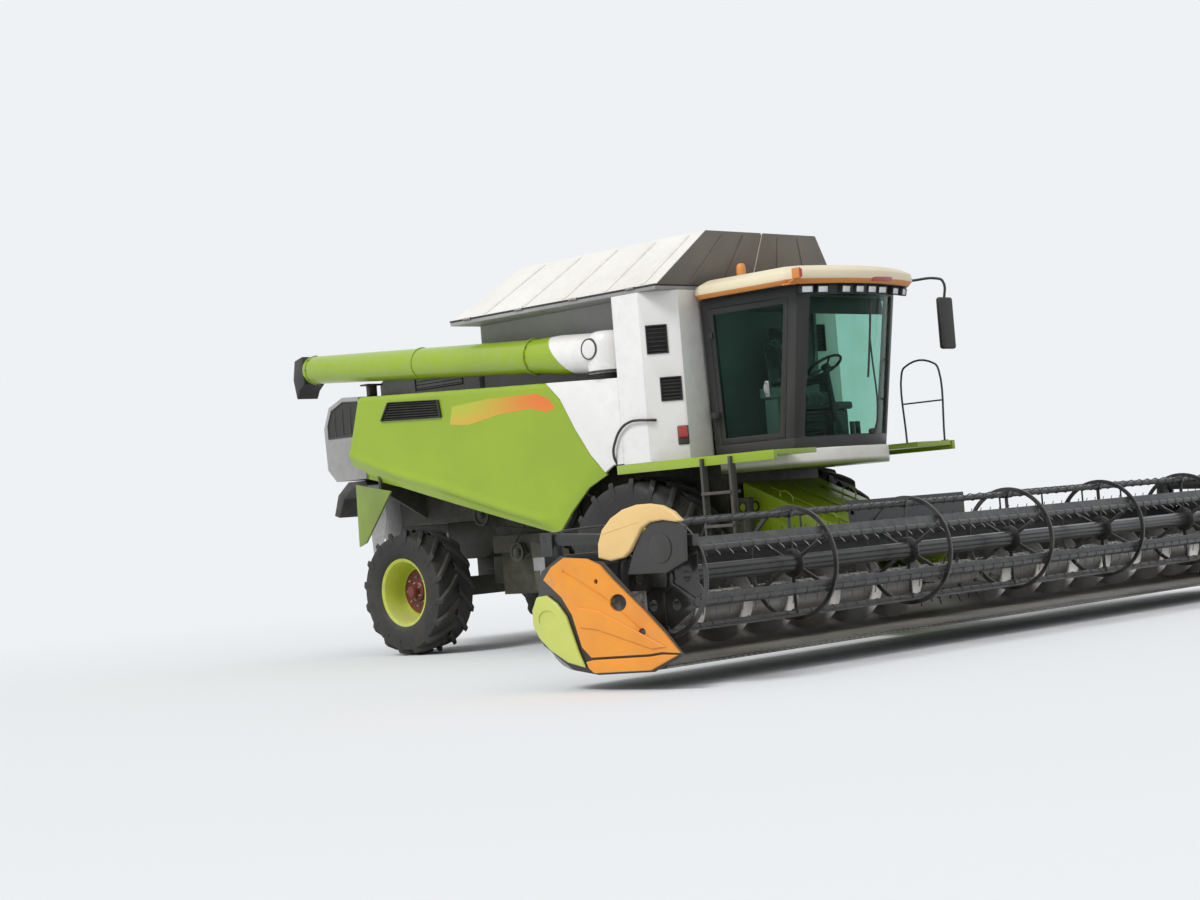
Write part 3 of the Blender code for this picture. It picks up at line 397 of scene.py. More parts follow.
# Wheels. Cross-ply farm tyres with moulded chevron lugs on pressed, dished rims;
# the rims are yellow-green with a dark red hub and a ring of nuts.
rubber, tree, shader, place = finish_tree("tyre_rubber")
grain = pattern(tree, place, "Noise", Scale=120.0, Detail=4.0)
mud = pattern(tree, place, "Noise", Scale=5.0, Detail=6.0, Roughness=0.65)
dusty = placed(tree, dust_tree, Amount=0.50, Top=1.8, Scale=3.0)
worn = placed(tree, wear_tree, Amount=0.6, Scale=14.0)
base = blended(
    tree, ranged(tree, mud.outputs["Fac"], 0.35, 0.65), (0.011, 0.011, 0.012), (0.022, 0.021, 0.020))
scuffed = blended(tree, worn.outputs["Mask"], base, (0.060, 0.058, 0.052))
height = joint_node(tree, "ShaderNodeBump", Strength=0.35, Distance=0.004)
wire(
    tree,
    (blended(tree, dusty.outputs["Mask"], scuffed, (0.13, 0.118, 0.085)), shader.inputs["Base Color"]),
    (ranged(tree, mud.outputs["Fac"], 0.3, 0.7, 0.62, 0.85), shader.inputs["Roughness"]),
    (grain.outputs["Fac"], height.inputs["Height"]), (height.outputs["Normal"], shader.inputs["Normal"]))
hub_paint = painted(
    "hub_paint", (0.13, 0.008, 0.008), (0.09, 0.010, 0.010), under=(0.22, 0.14, 0.12), rough=0.34,
    dust=0.16, top=1.6, wear=0.2)
nut_steel = painted(
    "nut_steel", (0.30, 0.29, 0.28), (0.20, 0.18, 0.16), under=(0.5, 0.5, 0.5), rough=0.42, metal=0.8,
    dust=0.4, top=1.8)

SIDES = (("R", -1), ("L", 1))  # the right side is the negative one
LENGTHWISE = (0, math.pi / 2, 0)
UPRIGHT = (0, 0, 0)


def round_bar(sides, radius, depth, at, turn=(math.pi / 2, 0, 0)):
    """A round bar or disc about a point; it lies across the machine unless it is turned."""
    clear()
    bpy.ops.mesh.primitive_cylinder_add(
        vertices=sides, radius=radius, depth=depth, location=at, rotation=turn)
    bpy.ops.object.transform_apply(location=True, rotation=True, scale=True)
    return bpy.context.object


def drawn(name, points, filled=True):
    """A flat outline through points, as one face or as a ring of edges."""
    clear()
    bpy.ops.mesh.primitive_circle_add(
        vertices=len(points), radius=1, fill_type="NGON" if filled else "NOTHING")
    piece = bpy.context.object
    piece.name = name
    for vert, point in zip(piece.data.vertices, points):
        vert.co = point
    return piece


def spun(name, profile, centre, axis, steps):
    """A ring of profile points turned all the way round an axis."""
    piece = drawn(name, profile, filled=False)
    pick(piece)
    bpy.ops.object.mode_set(mode="EDIT")
    bpy.ops.mesh.select_all(action="SELECT")
    bpy.ops.mesh.spin(steps=steps, angle=2 * math.pi, center=centre, axis=axis)
    bpy.ops.mesh.select_all(action="SELECT")
    bpy.ops.mesh.remove_doubles(threshold=0.0004)
    bpy.ops.mesh.normals_make_consistent(inside=False)
    bpy.ops.object.mode_set(mode="OBJECT")
    return piece


def joined(name, pieces):
    """Several meshes made into one."""
    pick(*pieces)
    if len(pieces) > 1:
        bpy.ops.object.join()
    piece = bpy.context.object
    piece.name = name
    return piece


def fit(name, pieces, finish, body="machine", stands_for=(), angle=34):
    """Joins the parts of one piece and gives it its last steps."""
    return settle(joined(name, pieces), body, finish, stands_for, angle)


def placed_copy(piece, matrix):
    """A copy of a finished shape with its own mesh, moved in the mesh."""
    twin = piece.copy()
    twin.data = piece.data.copy()
    twin.data.transform(matrix)
    bpy.context.scene.collection.objects.link(twin)
    return twin


def about_y(x, z, angle):
    """A turn round a line along Y."""
    return (
        Matrix.Translation((x, 0, z)) @ Matrix.Rotation(angle, 4, "Y") @ Matrix.Translation((-x, 0, -z)))


# name, place along and across, radius, width, rim radius, lugs a side, disc offset, hub radius, nuts
WHEELS = (
    ("front", 0.0, 1.275, 0.90, 0.65, 0.43, 18, 0.02, 0.21, 10),
    ("rear", -3.80, 1.25, 0.73, 0.54, 0.385, 16, 0.0, 0.15, 8),
)
LUG_DEPTH = 0.042  # how far the lugs stand out of the casing
for name, back, out_y, radius, width, rim_r, lugs, disc_at, hub_r, nuts in WHEELS:
    x, z, half = AXLE + back, radius, width / 2
    base = radius - LUG_DEPTH
    for tag, side in SIDES:
        y = side * out_y
        section = [
            (-0.80, rim_r), (-0.90, rim_r + 0.025), (-0.985, rim_r + 0.28 * (base - rim_r)),
            (-1.0, rim_r + 0.50 * (base - rim_r)), (-0.99, rim_r + 0.72 * (base - rim_r)),
            (-0.95, rim_r + 0.90 * (base - rim_r)), (-0.88, base - 0.022), (-0.60, base - 0.008),
            (-0.3, base - 0.002), (0.0, base)]
        ring = section + [(-d, r) for d, r in reversed(section[:-1])]
        ring += [(0.74, rim_r - 0.004), (-0.74, rim_r - 0.004)]
        tyre = spun(
            f"{name}_tyre_{tag}_tread", [(x, y + d * half, z + r) for d, r in ring], (x, y, z), (0, 1, 0),
            72)

        clear()
        bpy.ops.mesh.primitive_grid_add(x_subdivisions=3, y_subdivisions=6, size=2)
        lug = bpy.context.object
        path = (
            (-0.02, base - 0.02, radius), (0.30, base - 0.02, radius), (0.62, base - 0.02, radius - 0.002),
            (0.90, base - 0.04, radius - 0.014), (0.99, base - 0.10, base - 0.035),
            (1.005, rim_r + 0.58 * (base - rim_r), rim_r + 0.62 * (base - rim_r)),
            (0.99, rim_r + 0.50 * (base - rim_r), rim_r + 0.50 * (base - rim_r)))
        for vert in lug.data.vertices:
            step = round((vert.co.y + 1) * 3)
            column = round((vert.co.x + 1) * 1.5)
            d, low_r, high_r = path[step]
            sweep = max(0, d) * 0.325 / radius
            r = high_r if column in (1, 2) else low_r
            wide = {0: -0.052, 1: -0.035, 2: 0.035, 3: 0.052}[column] * (1.0 - 0.12 * step / 6)
            angle = sweep * 0.9 + wide / radius
            vert.co = (r * math.sin(angle), d * half, r * math.cos(angle))
        pick(lug)
        bpy.ops.object.mode_set(mode="EDIT")
        bpy.ops.mesh.select_mode(type="EDGE")
        bpy.ops.mesh.select_all(action="DESELECT")
        bpy.ops.mesh.select_non_manifold()
        bpy.ops.mesh.edge_face_add()
        bpy.ops.mesh.select_all(action="SELECT")
        bpy.ops.mesh.normals_make_consistent(inside=False)
        bpy.ops.mesh.select_mode(type="VERT")
        bpy.ops.object.mode_set(mode="OBJECT")
        rounded(lug, 0.007, 2, 25)
        studs = [tyre]
        for i in range(lugs):
            for way in (-1, 1):
                angle = 2 * math.pi * (i + (0.5 if way < 0 else 0.0)) / lugs
                flip = Matrix.Scale(way, 4, (0, 1, 0))
                turn = Matrix.Rotation(angle, 4, "Y")
                stud = placed_copy(lug, Matrix.Translation((x, y, z)) @ turn @ flip)
                if way < 0:
                    stud.data.flip_normals()
                studs.append(stud)
        bpy.data.objects.remove(lug)
        tyre = joined(f"{name}_tyre_{tag}_tread", studs)
        settle(tyre, BODY_OF[f"{name}_tyre_{tag}"], rubber, [f"{name}_tyre_{tag}"], 40)

        lip = half * 0.80
        at = disc_at
        dish = [
            (-lip, rim_r - 0.002), (-lip - 0.012, rim_r + 0.018), (-lip - 0.020, rim_r + 0.014),
            (-lip - 0.012, rim_r - 0.022), (-lip + 0.02, rim_r - 0.045), (at - 0.10, rim_r - 0.075),
            (at - 0.055, rim_r - 0.10), (at - 0.040, rim_r - 0.14), (at - 0.030, hub_r + 0.045),
            (at - 0.012, hub_r), (at - 0.02, 0.02), (at, 0.02), (at + 0.006, hub_r),
            (at - 0.012, hub_r + 0.050), (at - 0.020, rim_r - 0.125), (at - 0.035, rim_r - 0.085),
            (at + 0.02, rim_r - 0.060), (lip - 0.03, rim_r - 0.042), (lip + 0.004, rim_r - 0.022),
            (lip + 0.018, rim_r + 0.012), (lip + 0.010, rim_r + 0.016), (lip, rim_r - 0.002)]
        rim = spun(
            f"{name}_rim_{tag}_dish", [(x, y + side * d, z + r) for d, r in dish], (x, y, z), (0, 1, 0), 72)
        settle(rim, BODY_OF[f"{name}_rim_{tag}"], rim_paint, [f"{name}_rim_{tag}"], 30)

        cap = [
            (at - 0.030, 0.0), (at - 0.045, rim_r - 0.128), (at - 0.014, rim_r - 0.124),
            (at + 0.008, rim_r - 0.145), (at + 0.014, hub_r * 0.80), (at + 0.030, hub_r * 0.78),
            (at + 0.045, hub_r * 0.66), (at + 0.050, hub_r * 0.50), (at + 0.105, hub_r * 0.46),
            (at + 0.125, hub_r * 0.38), (at + 0.130, 0.0)]
        hub = spun(
            f"{name}_hub_{tag}", [(x, y + side * d, z + r) for d, r in cap], (x, y, z), (0, 1, 0), 48)
        settle(hub, BODY_OF[f"{name}_rim_{tag}"], hub_paint, (), 30)

        nut = round_bar(6, 0.017, 0.030, (x, y + side * (at + 0.012), z + hub_r * 1.12))
        stud = round_bar(12, 0.009, 0.052, (x, y + side * (at + 0.018), z + hub_r * 1.12))
        nut = rounded(joined("nut", [nut, stud]), 0.0025, 1, 40)
        ring_of_nuts = [placed_copy(nut, about_y(x, z, 2 * math.pi * i / nuts)) for i in range(nuts)]
        caps = [placed_copy(nut, Matrix.Translation((0, side * 0.036, -hub_r * 0.50)))]
        bpy.data.objects.remove(nut)
        small = [placed_copy(caps[0], about_y(x, z, 2 * math.pi * i / 6)) for i in range(1, 6)]
        fit(
            f"{name}_nuts_{tag}", ring_of_nuts + caps + small, nut_steel,
            BODY_OF[f"{name}_rim_{tag}"], (), 30)

# Side panels. Pressed green panels hinged under the belt line: flat above a crease that falls
# towards the front wheel, rolled in below it, with a louvred vent and a plain tapered stripe.
BELT_Z, BELT_RISE = 2.87, 0.0495
SIDE_Y = 1.50  # the widest line of the body


def belt(x):
    """Height of the belt line at a place along the machine."""
    return BELT_Z + (AXLE - 0.14 - x) * BELT_RISE


def along(table, x):
    """Reads a table of (place, value) with straight runs between its rows."""
    for (x0, v0), (x1, v1) in zip(table, table[1:]):
        if x <= x1:
            return v0 + (v1 - v0) * max(0.0, (x - x0) / (x1 - x0))
    return table[-1][1]


def lengthened(piece, way):
    """Pulls a flat outline out into a closed solid."""
    pick(piece)
    bpy.ops.object.mode_set(mode="EDIT")
    bpy.ops.mesh.select_all(action="SELECT")
    bpy.ops.mesh.extrude_region_move(TRANSFORM_OT_translate={"value": way})
    bpy.ops.mesh.select_all(action="SELECT")
    bpy.ops.mesh.normals_make_consistent(inside=False)
    bpy.ops.object.mode_set(mode="OBJECT")
    return piece


def trimmed(piece, tool, operation="DIFFERENCE"):
    """Cuts one solid by another, and removes the cutter."""
    change = piece.modifiers.new("trim", "BOOLEAN")
    change.operation = operation
    change.solver = "EXACT"
    change.object = tool
    apply(piece, "trim")
    bpy.data.objects.remove(tool)
    return piece


def flat_plate(name, outline, y, thick, start=AXLE):
    """A plate that stands along the machine; its outline is (place after the start, height)."""
    return lengthened(drawn(name, [(start + x, y, z) for x, z in outline]), (0, thick, 0))


def squared(size, middle=(0, 0, 0)):
    """A squared block of a size about a point."""
    clear()
    bpy.ops.mesh.primitive_cube_add(size=1, location=middle, scale=size)
    bpy.ops.object.transform_apply(location=True, rotation=True, scale=True)
    return bpy.context.object


def strip(name, low, high):
    """A squared bar between two corners."""
    piece = squared([b - a for a, b in zip(low, high)], [(a + b) / 2 for a, b in zip(low, high)])
    piece.name = name
    return piece


def axle_bar(name, low, high, edge, steps=2):
    """A squared bar between two corners given from the front axle, with its edges broken."""
    low = (AXLE + low[0], *low[1:])
    high = (AXLE + high[0], *high[1:])
    return rounded(strip(name, low, high), edge, steps)


CREASE = [
    (AXLE + x, z)
    for x, z in (
        (-4.67, 2.41), (-4.31, 2.26), (-3.68, 2.06), (-2.99, 1.88), (-2.01, 1.59), (-1.08, 1.33),
        (-0.30, 1.20))]
PANEL_EDGE = [
    (AXLE + x, z)
    for x, z in (
        (-4.36, 3.067), (-1.15, 2.908), (-0.94, 2.70), (-0.75, 2.37), (-0.55, 2.08), (-0.34, 1.86),
        (-0.62, 1.74), (-0.91, 1.50), (-1.10, 1.31), (-1.24, 1.29), (-2.84, 1.70), (-3.79, 1.96),
        (-4.52, 2.12), (-4.66, 2.25))]
VENT = [(AXLE + x, z) for x, z in ((-3.800, 2.950), (-2.930, 2.899), (-2.900, 2.700), (-3.950, 2.748))]
STRIPE = [
    (AXLE + x, z)
    for x, z in (
        (-2.76, 2.60), (-2.70, 2.80), (-2.10, 2.83), (-1.30, 2.81), (-1.13, 2.74), (-1.02, 2.63),
        (-1.16, 2.60), (-1.42, 2.66), (-1.95, 2.64), (-2.45, 2.57))]


def inward(points, centre, amount):
    """The same outline drawn in towards its centre."""
    return [
        (centre[0] + (x - centre[0]) * (1 - amount), centre[1] + (z - centre[1]) * (1 - amount))
        for x, z in points]


def panel_depth(x, z):
    """How far the pressed side panel lies inside the widest line, at a point of its face."""
    crease = along(CREASE, x)
    deep = 0.022 * (1 - math.exp(-((z - crease - 0.03) / 0.045) ** 2))
    if z < crease:
        deep += 0.50 * (crease - z)
    front = (z - 1.33) - 0.80 * (x - (AXLE - 1.55))
    if front < 0:
        deep = max(deep, -front * 0.10)
    top = belt(x) - 0.012 - z
    if top < 0.05:
        deep += 0.030 * (1 - max(0, top) / 0.05) ** 2
    return deep


vent_black = painted(
    "vent_black", (0.012, 0.012, 0.013), (0.020, 0.020, 0.020), under=(0.04, 0.04, 0.04), rough=0.55,
    dust=0.10, top=4.0)
stripe_finish, tree, shader, place = finish_tree("stripe_film")
parts = joint_node(tree, "ShaderNodeSeparateXYZ")
dusty = placed(tree, dust_tree, Amount=0.25)
wire(tree, (place.outputs["Object"], parts.inputs[0]))
sweep = ranged(tree, parts.outputs["X"], AXLE - 2.6, AXLE - 1.1)
high = blended(tree, sweep, (0.46, 0.50, 0.028), (0.78, 0.17, 0.012))
low = blended(tree, sweep, (0.62, 0.42, 0.03), (0.80, 0.20, 0.012))
tone = blended(tree, ranged(tree, parts.outputs["Z"], 2.60, 2.76), low, high)
wire(tree, (blended(tree, dusty.outputs["Mask"], tone, DUST_COLOUR), shader.inputs["Base Color"]))
tune(shader, Roughness=0.30, Coat_Weight=0.4)

for tag, side in SIDES:
    clear()
    bpy.ops.mesh.primitive_grid_add(x_subdivisions=88, y_subdivisions=110, size=2)
    panel = bpy.context.object
    panel.name = f"side_panel_{tag}_skin"
    x0, x1, z0, z1 = AXLE - 4.75, AXLE - 0.25, 1.20, 3.12
    for vert in panel.data.vertices:
        x = x0 + (vert.co.x + 1) / 2 * (x1 - x0)
        z = z0 + (vert.co.y + 1) / 2 * (z1 - z0)
        vert.co = (x, side * (SIDE_Y - panel_depth(x, z)), z)
    thick = panel.modifiers.new("sheet", "SOLIDIFY")
    thick.thickness = 0.028
    thick.offset = -1.0 if side < 0 else 1.0
    apply(panel, "sheet")
    pick(panel)
    bpy.ops.object.mode_set(mode="EDIT")
    bpy.ops.mesh.select_all(action="SELECT")
    bpy.ops.mesh.normals_make_consistent(inside=False)
    bpy.ops.object.mode_set(mode="OBJECT")
    edge = flat_plate("edge", PANEL_EDGE, side * 1.20, side * 0.40, 0)
    trimmed(panel, edge, "INTERSECT")
    hole = flat_plate("hole", VENT, side * 1.20, side * 0.40, 0)
    trimmed(panel, hole)
    rounded(panel, 0.004, 2, 50)
    settle(panel, f"side_panel_{tag}", green_paint, [f"side_panel_{tag}"], 24)

    middle = (AXLE - 3.41, 2.826)
    surround = flat_plate(
        "surround", inward(VENT, middle, -0.035), side * (SIDE_Y - 0.030), side * 0.034, 0)
    opening = flat_plate("opening", inward(VENT, middle, 0.02), side * (SIDE_Y - 0.10), side * 0.20, 0)
    trimmed(surround, opening)
    slats = [rounded(surround, 0.003, 2, 40)]
    for i in range(7):
        v = (i + 0.5) / 7
        ends = []
        for a, b in ((0, 3), (1, 2)):
            (x0, z0), (x1, z1) = VENT[a], VENT[b]
            ends.append((x0 + (x1 - x0) * v, z0 + (z1 - z0) * v))
        (rear, rear_z), (front, front_z) = ends
        inner, outer = side * (SIDE_Y - 0.034), side * (SIDE_Y - 0.004)
        corners = [
            (rear, inner, rear_z + 0.012), (front, inner, front_z + 0.012), (front, outer, front_z - 0.010),
            (rear, outer, rear_z - 0.010)]
        blade = drawn("blade", corners)
        slats.append(lengthened(blade, (0, side * 0.002, 0.004)))
    for share in (0.34, 0.67):
        x = VENT[0][0] + (VENT[1][0] - VENT[0][0]) * share
        slats.append(
            strip(
                "stay", (x - 0.008, min(side * 1.46, side * 1.475), 2.72),
                (x + 0.008, max(side * 1.46, side * 1.475), 2.94)))
    fit(f"side_vent_{tag}", slats, vent_black, f"side_panel_{tag}")
    stripe = flat_plate(f"side_stripe_{tag}", STRIPE, side * (SIDE_Y - 0.023), side * 0.0022, 0)
    settle(stripe, f"side_panel_{tag}", stripe_finish)

# Shoulders. White moulded housings beside the cab with two black vents and a red lamp, set in the right one's
# chamfered corner and in the left one's front face. Below them are the flush front body panels, up to the
# dividing curve, and a bent hand rail stands at each one's foot.
red_lens, tree, shader, place = finish_tree("red_lens")
prisms = pattern(tree, place, "Voronoi", Scale=90.0)
height = joint_node(tree, "ShaderNodeBump", Strength=0.6, Distance=0.003)
wire(
    tree, (prisms.outputs["Distance"], height.inputs["Height"]),
    (height.outputs["Normal"], shader.inputs["Normal"]),
    (
        blended(tree, prisms.outputs["Distance"], (0.55, 0.010, 0.008), (0.30, 0.004, 0.004)),
        shader.inputs["Base Color"]))
tune(shader, Roughness=0.12, Coat_Weight=0.8)
RIM_Z = 3.70
DECK_Z = 1.94


def looking(at, face):
    """The placing that puts a part at a point with its Y along a face's outward direction."""
    beside = face.cross(Vector((0, 0, 1))).normalized()
    return Matrix.Translation(at) @ Matrix((beside, face, (0, 0, 1))).transposed().to_4x4()


def louvre(name, centre, face, width, high, blades, depth=0.03):
    """A framed vent: a rim, a dark back and tilted blades, set on a face that looks along a direction."""
    half, tall = width / 2, high / 2
    rim = strip(name, (-half, -depth, -tall), (half, 0.010, tall))
    trimmed(
        rim, strip("in", (-half + 0.014, -depth + 0.006, -tall + 0.014), (half - 0.014, 0.05, tall - 0.014))
    )
    made = [rounded(rim, 0.003, 2, 40)]
    for i in range(blades):
        z = -tall + 0.014 + (i + 0.5) * (high - 0.028) / blades
        blade = drawn(
            "blade",
            [
                (-half + 0.010, -0.016, z + 0.011), (half - 0.010, -0.016, z + 0.011),
                (half - 0.010, 0.006, z - 0.009), (-half + 0.010, 0.006, z - 0.009)])
        made.append(lengthened(blade, (0, 0.001, 0.003)))
    piece = joined(name, made)
    piece.data.transform(looking(centre, face))
    return piece


for tag, side in SIDES:
    inner = 1.11 if side < 0 else 1.32
    cut_x, cut_y = (0.28, 0.31) if side < 0 else (0.10, 0.11)
    plan = [
        (-0.04, 1.50), (0.62 - cut_x, 1.50), (0.62, 1.50 - cut_y), (0.62, 0.82), (0.57, 0.82),
        (0.57, 1.48 - cut_y), (0.60 - cut_x, 1.45), (0.01, 1.45), (0.01, inner), (-0.04, inner)]
    wall = lengthened(
        drawn(f"shoulder_{tag}_wall", [(AXLE + x, side * y, DECK_Z + 0.001) for x, y in plan]),
        (0, 0, RIM_Z - DECK_Z - 0.002))
    chamfer = Vector((0.31, side * 0.28, 0)).normalized() if side < 0 else Vector((1, 0, 0))
    vents = []
    for share, z, high in ((0.40, 3.20, 0.30), (0.66, 2.68, 0.25)):
        x, y = AXLE + 0.34 + 0.28 * share, side * (1.50 - 0.31 * share)
        if side > 0:
            x, y = AXLE + 0.62, 1.06
        vents.append((x, y, z, high))
        hole = strip("hole", (-0.105, -0.2, -high / 2 + 0.006), (0.105, 0.2, high / 2 - 0.006))
        hole.data.transform(looking((x, y, z), chamfer))
        trimmed(wall, hole)
    rounded(wall, 0.012, 3, 32)
    settle(wall, "machine", white_paint, [f"shoulder_{tag}"], 30)
    for k, (x, y, z, high) in enumerate(vents):
        settle(
            louvre(f"shoulder_vent_{tag}{k + 1}", (x, y, z), chamfer, 0.225, high, 6), "machine",
            vent_black)

    white_edge = [
        (-0.041, 1.95), (-0.041, 2.853), (-1.13, 2.907), (-0.925, 2.71), (-0.735, 2.38), (-0.53, 2.085),
        (-0.33, 1.88), (-0.20, 1.95)]
    front_panel = flat_plate(f"front_body_panel_{tag}", white_edge, side * 1.462, side * 0.038)
    settle(rounded(front_panel, 0.008, 3, 40), "machine", white_paint)

    back = strip("lamp_back", (-0.058, -0.020, -0.120), (0.058, 0.014, 0.078))
    rounded(back, 0.012, 3, 40)
    lens = strip("lamp_lens", (-0.050, 0.0, -0.050), (0.050, 0.030, 0.070))
    rounded(lens, 0.014, 4, 40)
    at = (AXLE + 0.582, -1.232, 2.215) if side < 0 else (AXLE + 0.62, 1.06, 2.215)
    turn = looking(at, chamfer)
    for piece, name, finish, slot in (
        (back, "lamp_housing_", black_paint, "black"), (lens, "tail_lamp_", red_lens, "orange")
    ):
        piece.name = name + tag
        piece.data.transform(turn)
        settle(piece, "machine", finish)


def pipe(name, points, radius, sides=4, smooth=True):
    """A bent round bar along points."""
    clear()
    bpy.ops.curve.primitive_bezier_curve_add()
    piece = bpy.context.object
    piece.name = name
    piece.location = (0, 0, 0)
    piece.data.splines.clear()
    line = piece.data.splines.new("BEZIER" if smooth else "POLY")
    knots = line.bezier_points if smooth else line.points
    knots.add(len(points) - 1)
    for knot, point in zip(knots, points):
        if smooth:
            knot.co = point
            knot.handle_left_type = knot.handle_right_type = "AUTO"
        else:
            knot.co = (*point, 1)
    piece.data.dimensions = "3D"
    piece.data.resolution_u = 6
    piece.data.bevel_depth = radius
    piece.data.bevel_resolution = sides - 2
    piece.data.use_fill_caps = True
    pick(piece)
    bpy.ops.object.convert(target="MESH")
    return bpy.context.object


def bent_bar(name, points, *shape):
    """A bent round bar along points given from the front axle."""
    return pipe(name, [(AXLE + x, y, z) for x, y, z in points], *shape)


for tag, side in SIDES:
    y = side * 1.535
    arch = [
        (AXLE - 0.147, side * 1.48, 1.93), (AXLE - 0.150, y, 2.06), (AXLE - 0.102, y, 2.207),
        (AXLE - 0.01, y, 2.318), (AXLE + 0.121, y, 2.376), (AXLE + 0.26, y, 2.382),
        (AXLE + 0.36, side * 1.52, 2.374), (AXLE + 0.40, side * 1.43, 2.37)]
    settle(pipe(f"hand_rail_{tag}", arch, 0.014, 6), "machine", black_paint)

# Decks and steps. Folded sheet platforms on both sides of the cab with a ribbed tread,
# a ladder hung on the right one, and one thin black rail arch on the left one.
tread, tree, shader, place = finish_tree("tread_plate")
ribs = pattern(tree, place, "Wave", Scale=14.0, Distortion=0.0, wave_type="BANDS", bands_direction="X")
cross = pattern(tree, place, "Wave", Scale=14.0, Distortion=0.0, wave_type="BANDS", bands_direction="Y")
worn = placed(tree, wear_tree, Amount=0.7)
dusty = placed(tree, dust_tree, Amount=0.6, Top=3.2)
lattice = times(tree, ribs.outputs["Fac"], cross.outputs["Fac"])
height = joint_node(tree, "ShaderNodeBump", Strength=0.8, Distance=0.004)
base = blended(tree, lattice, (0.16, 0.22, 0.035), (0.26, 0.36, 0.035))
wire(
    tree,
    (
        blended(
            tree, dusty.outputs["Mask"], blended(tree, worn.outputs["Mask"], base, (0.4, 0.4, 0.38)),
            DUST_COLOUR),
        shader.inputs["Base Color"]),
    (lattice, height.inputs["Height"]), (height.outputs["Normal"], shader.inputs["Normal"]),
    (ranged(tree, lattice, 0.0, 1.0, 0.55, 0.36), shader.inputs["Roughness"]))
for tag in ("R", "L"):
    deck = rounded(merged_copy(f"deck_{tag}", f"deck_{tag}_sheet"), 0.005, 2, 35)
    settle(deck, "machine", green_paint, [f"deck_{tag}"])
    patched(deck, tread, lambda face: face.normal.z > 0.9)
    patched(deck, black_paint, lambda face: face.center.z < 1.80)
RAIL_Y = 1.46
rear_x, front_x = 1.40, 1.90
corners = (
    (rear_x, 1.945), (rear_x, 2.70), (rear_x + 0.05, 2.78), (front_x - 0.05, 2.78), (front_x, 2.70),
    (front_x, 1.945))
rails = [bent_bar("rail", [(x, RAIL_Y, z) for x, z in corners], 0.011, 5)]
rails.append(bent_bar("rail", [(rear_x, RAIL_Y, 2.38), (front_x, RAIL_Y, 2.38)], 0.009, 5, False))
for x in (rear_x, front_x):
    rails.append(
        axle_bar("foot", (x - 0.03, RAIL_Y - 0.025, 1.940), (x + 0.03, RAIL_Y + 0.025, 1.950), 0.002))
fit("deck_rails_L", rails, black_paint)

# Grain tank and covers. A welded hopper with a flange round its mouth; two hipped covers close on it,
# each a pressed shell with raised ribs, a rubber seal round the foot and hinges at the eaves.
tank = rounded(merged_copy("grain_tank", "grain_tank_shell"), 0.006, 2, 32)
settle(tank, "machine", grey_paint, ["grain_tank"])
cover_white = painted(
    "cover_white", (0.87, 0.86, 0.82), (0.80, 0.78, 0.74), under=(0.45, 0.44, 0.42), rough=0.40, coat=0.15,
    dust=0.28, top=6.0, wear=0.3, peel=0.2, wave=1.0, bump=0.22)
# the covers' front gables are dark grey: partly the gable panel's own grey, partly painted shade
gable_grey_painted_shade = painted(
    "gable_grey_painted_shade", (0.20, 0.19, 0.175), (0.15, 0.14, 0.13), under=(0.2, 0.19, 0.18), rough=0.62, dust=0.35,
    top=6.0, wear=0.2)
rubber_seal = painted(
    "rubber_seal", (0.018, 0.018, 0.018), (0.030, 0.030, 0.030), under=(0.07, 0.07, 0.07), rough=0.7,
    dust=0.3, top=5.0)
COVER_LOW = ((-2.60, 0.60), 1.50, 3.7403)
COVER_TOP = 4.2995
COVER_HIGH = ((-2.00, 0.82), 0.90, 4.30)


def on_cover(face, u, v, side, out=0.0):
    """A point on one of a cover's slopes, u along it and v up it."""
    (a0, a1), y0, z0 = COVER_LOW
    (b0, b1), y1, z1 = COVER_HIGH
    if face == "side":
        low, high = Vector((a0 + (a1 - a0) * u, side * y0, z0)), Vector((b0 + (b1 - b0) * u, side * y1, z1))
        normal = Vector((0, side * (z1 - z0), y0 - y1)).normalized()
    elif face == "rear":
        low, high = Vector((a0, side * y0 * u, z0)), Vector((b0, side * y1 * u, z1))
        normal = Vector((-(z1 - z0), 0, b0 - a0)).normalized()
    else:
        low, high = Vector((a1, side * y0 * u, z0)), Vector((b1, side * y1 * u, z1))
        normal = Vector((z1 - z0, 0, a1 - b1)).normalized()
    point = low.lerp(high, v) + normal * out
    return Vector((AXLE + point.x, point.y, min(point.z, COVER_TOP)))


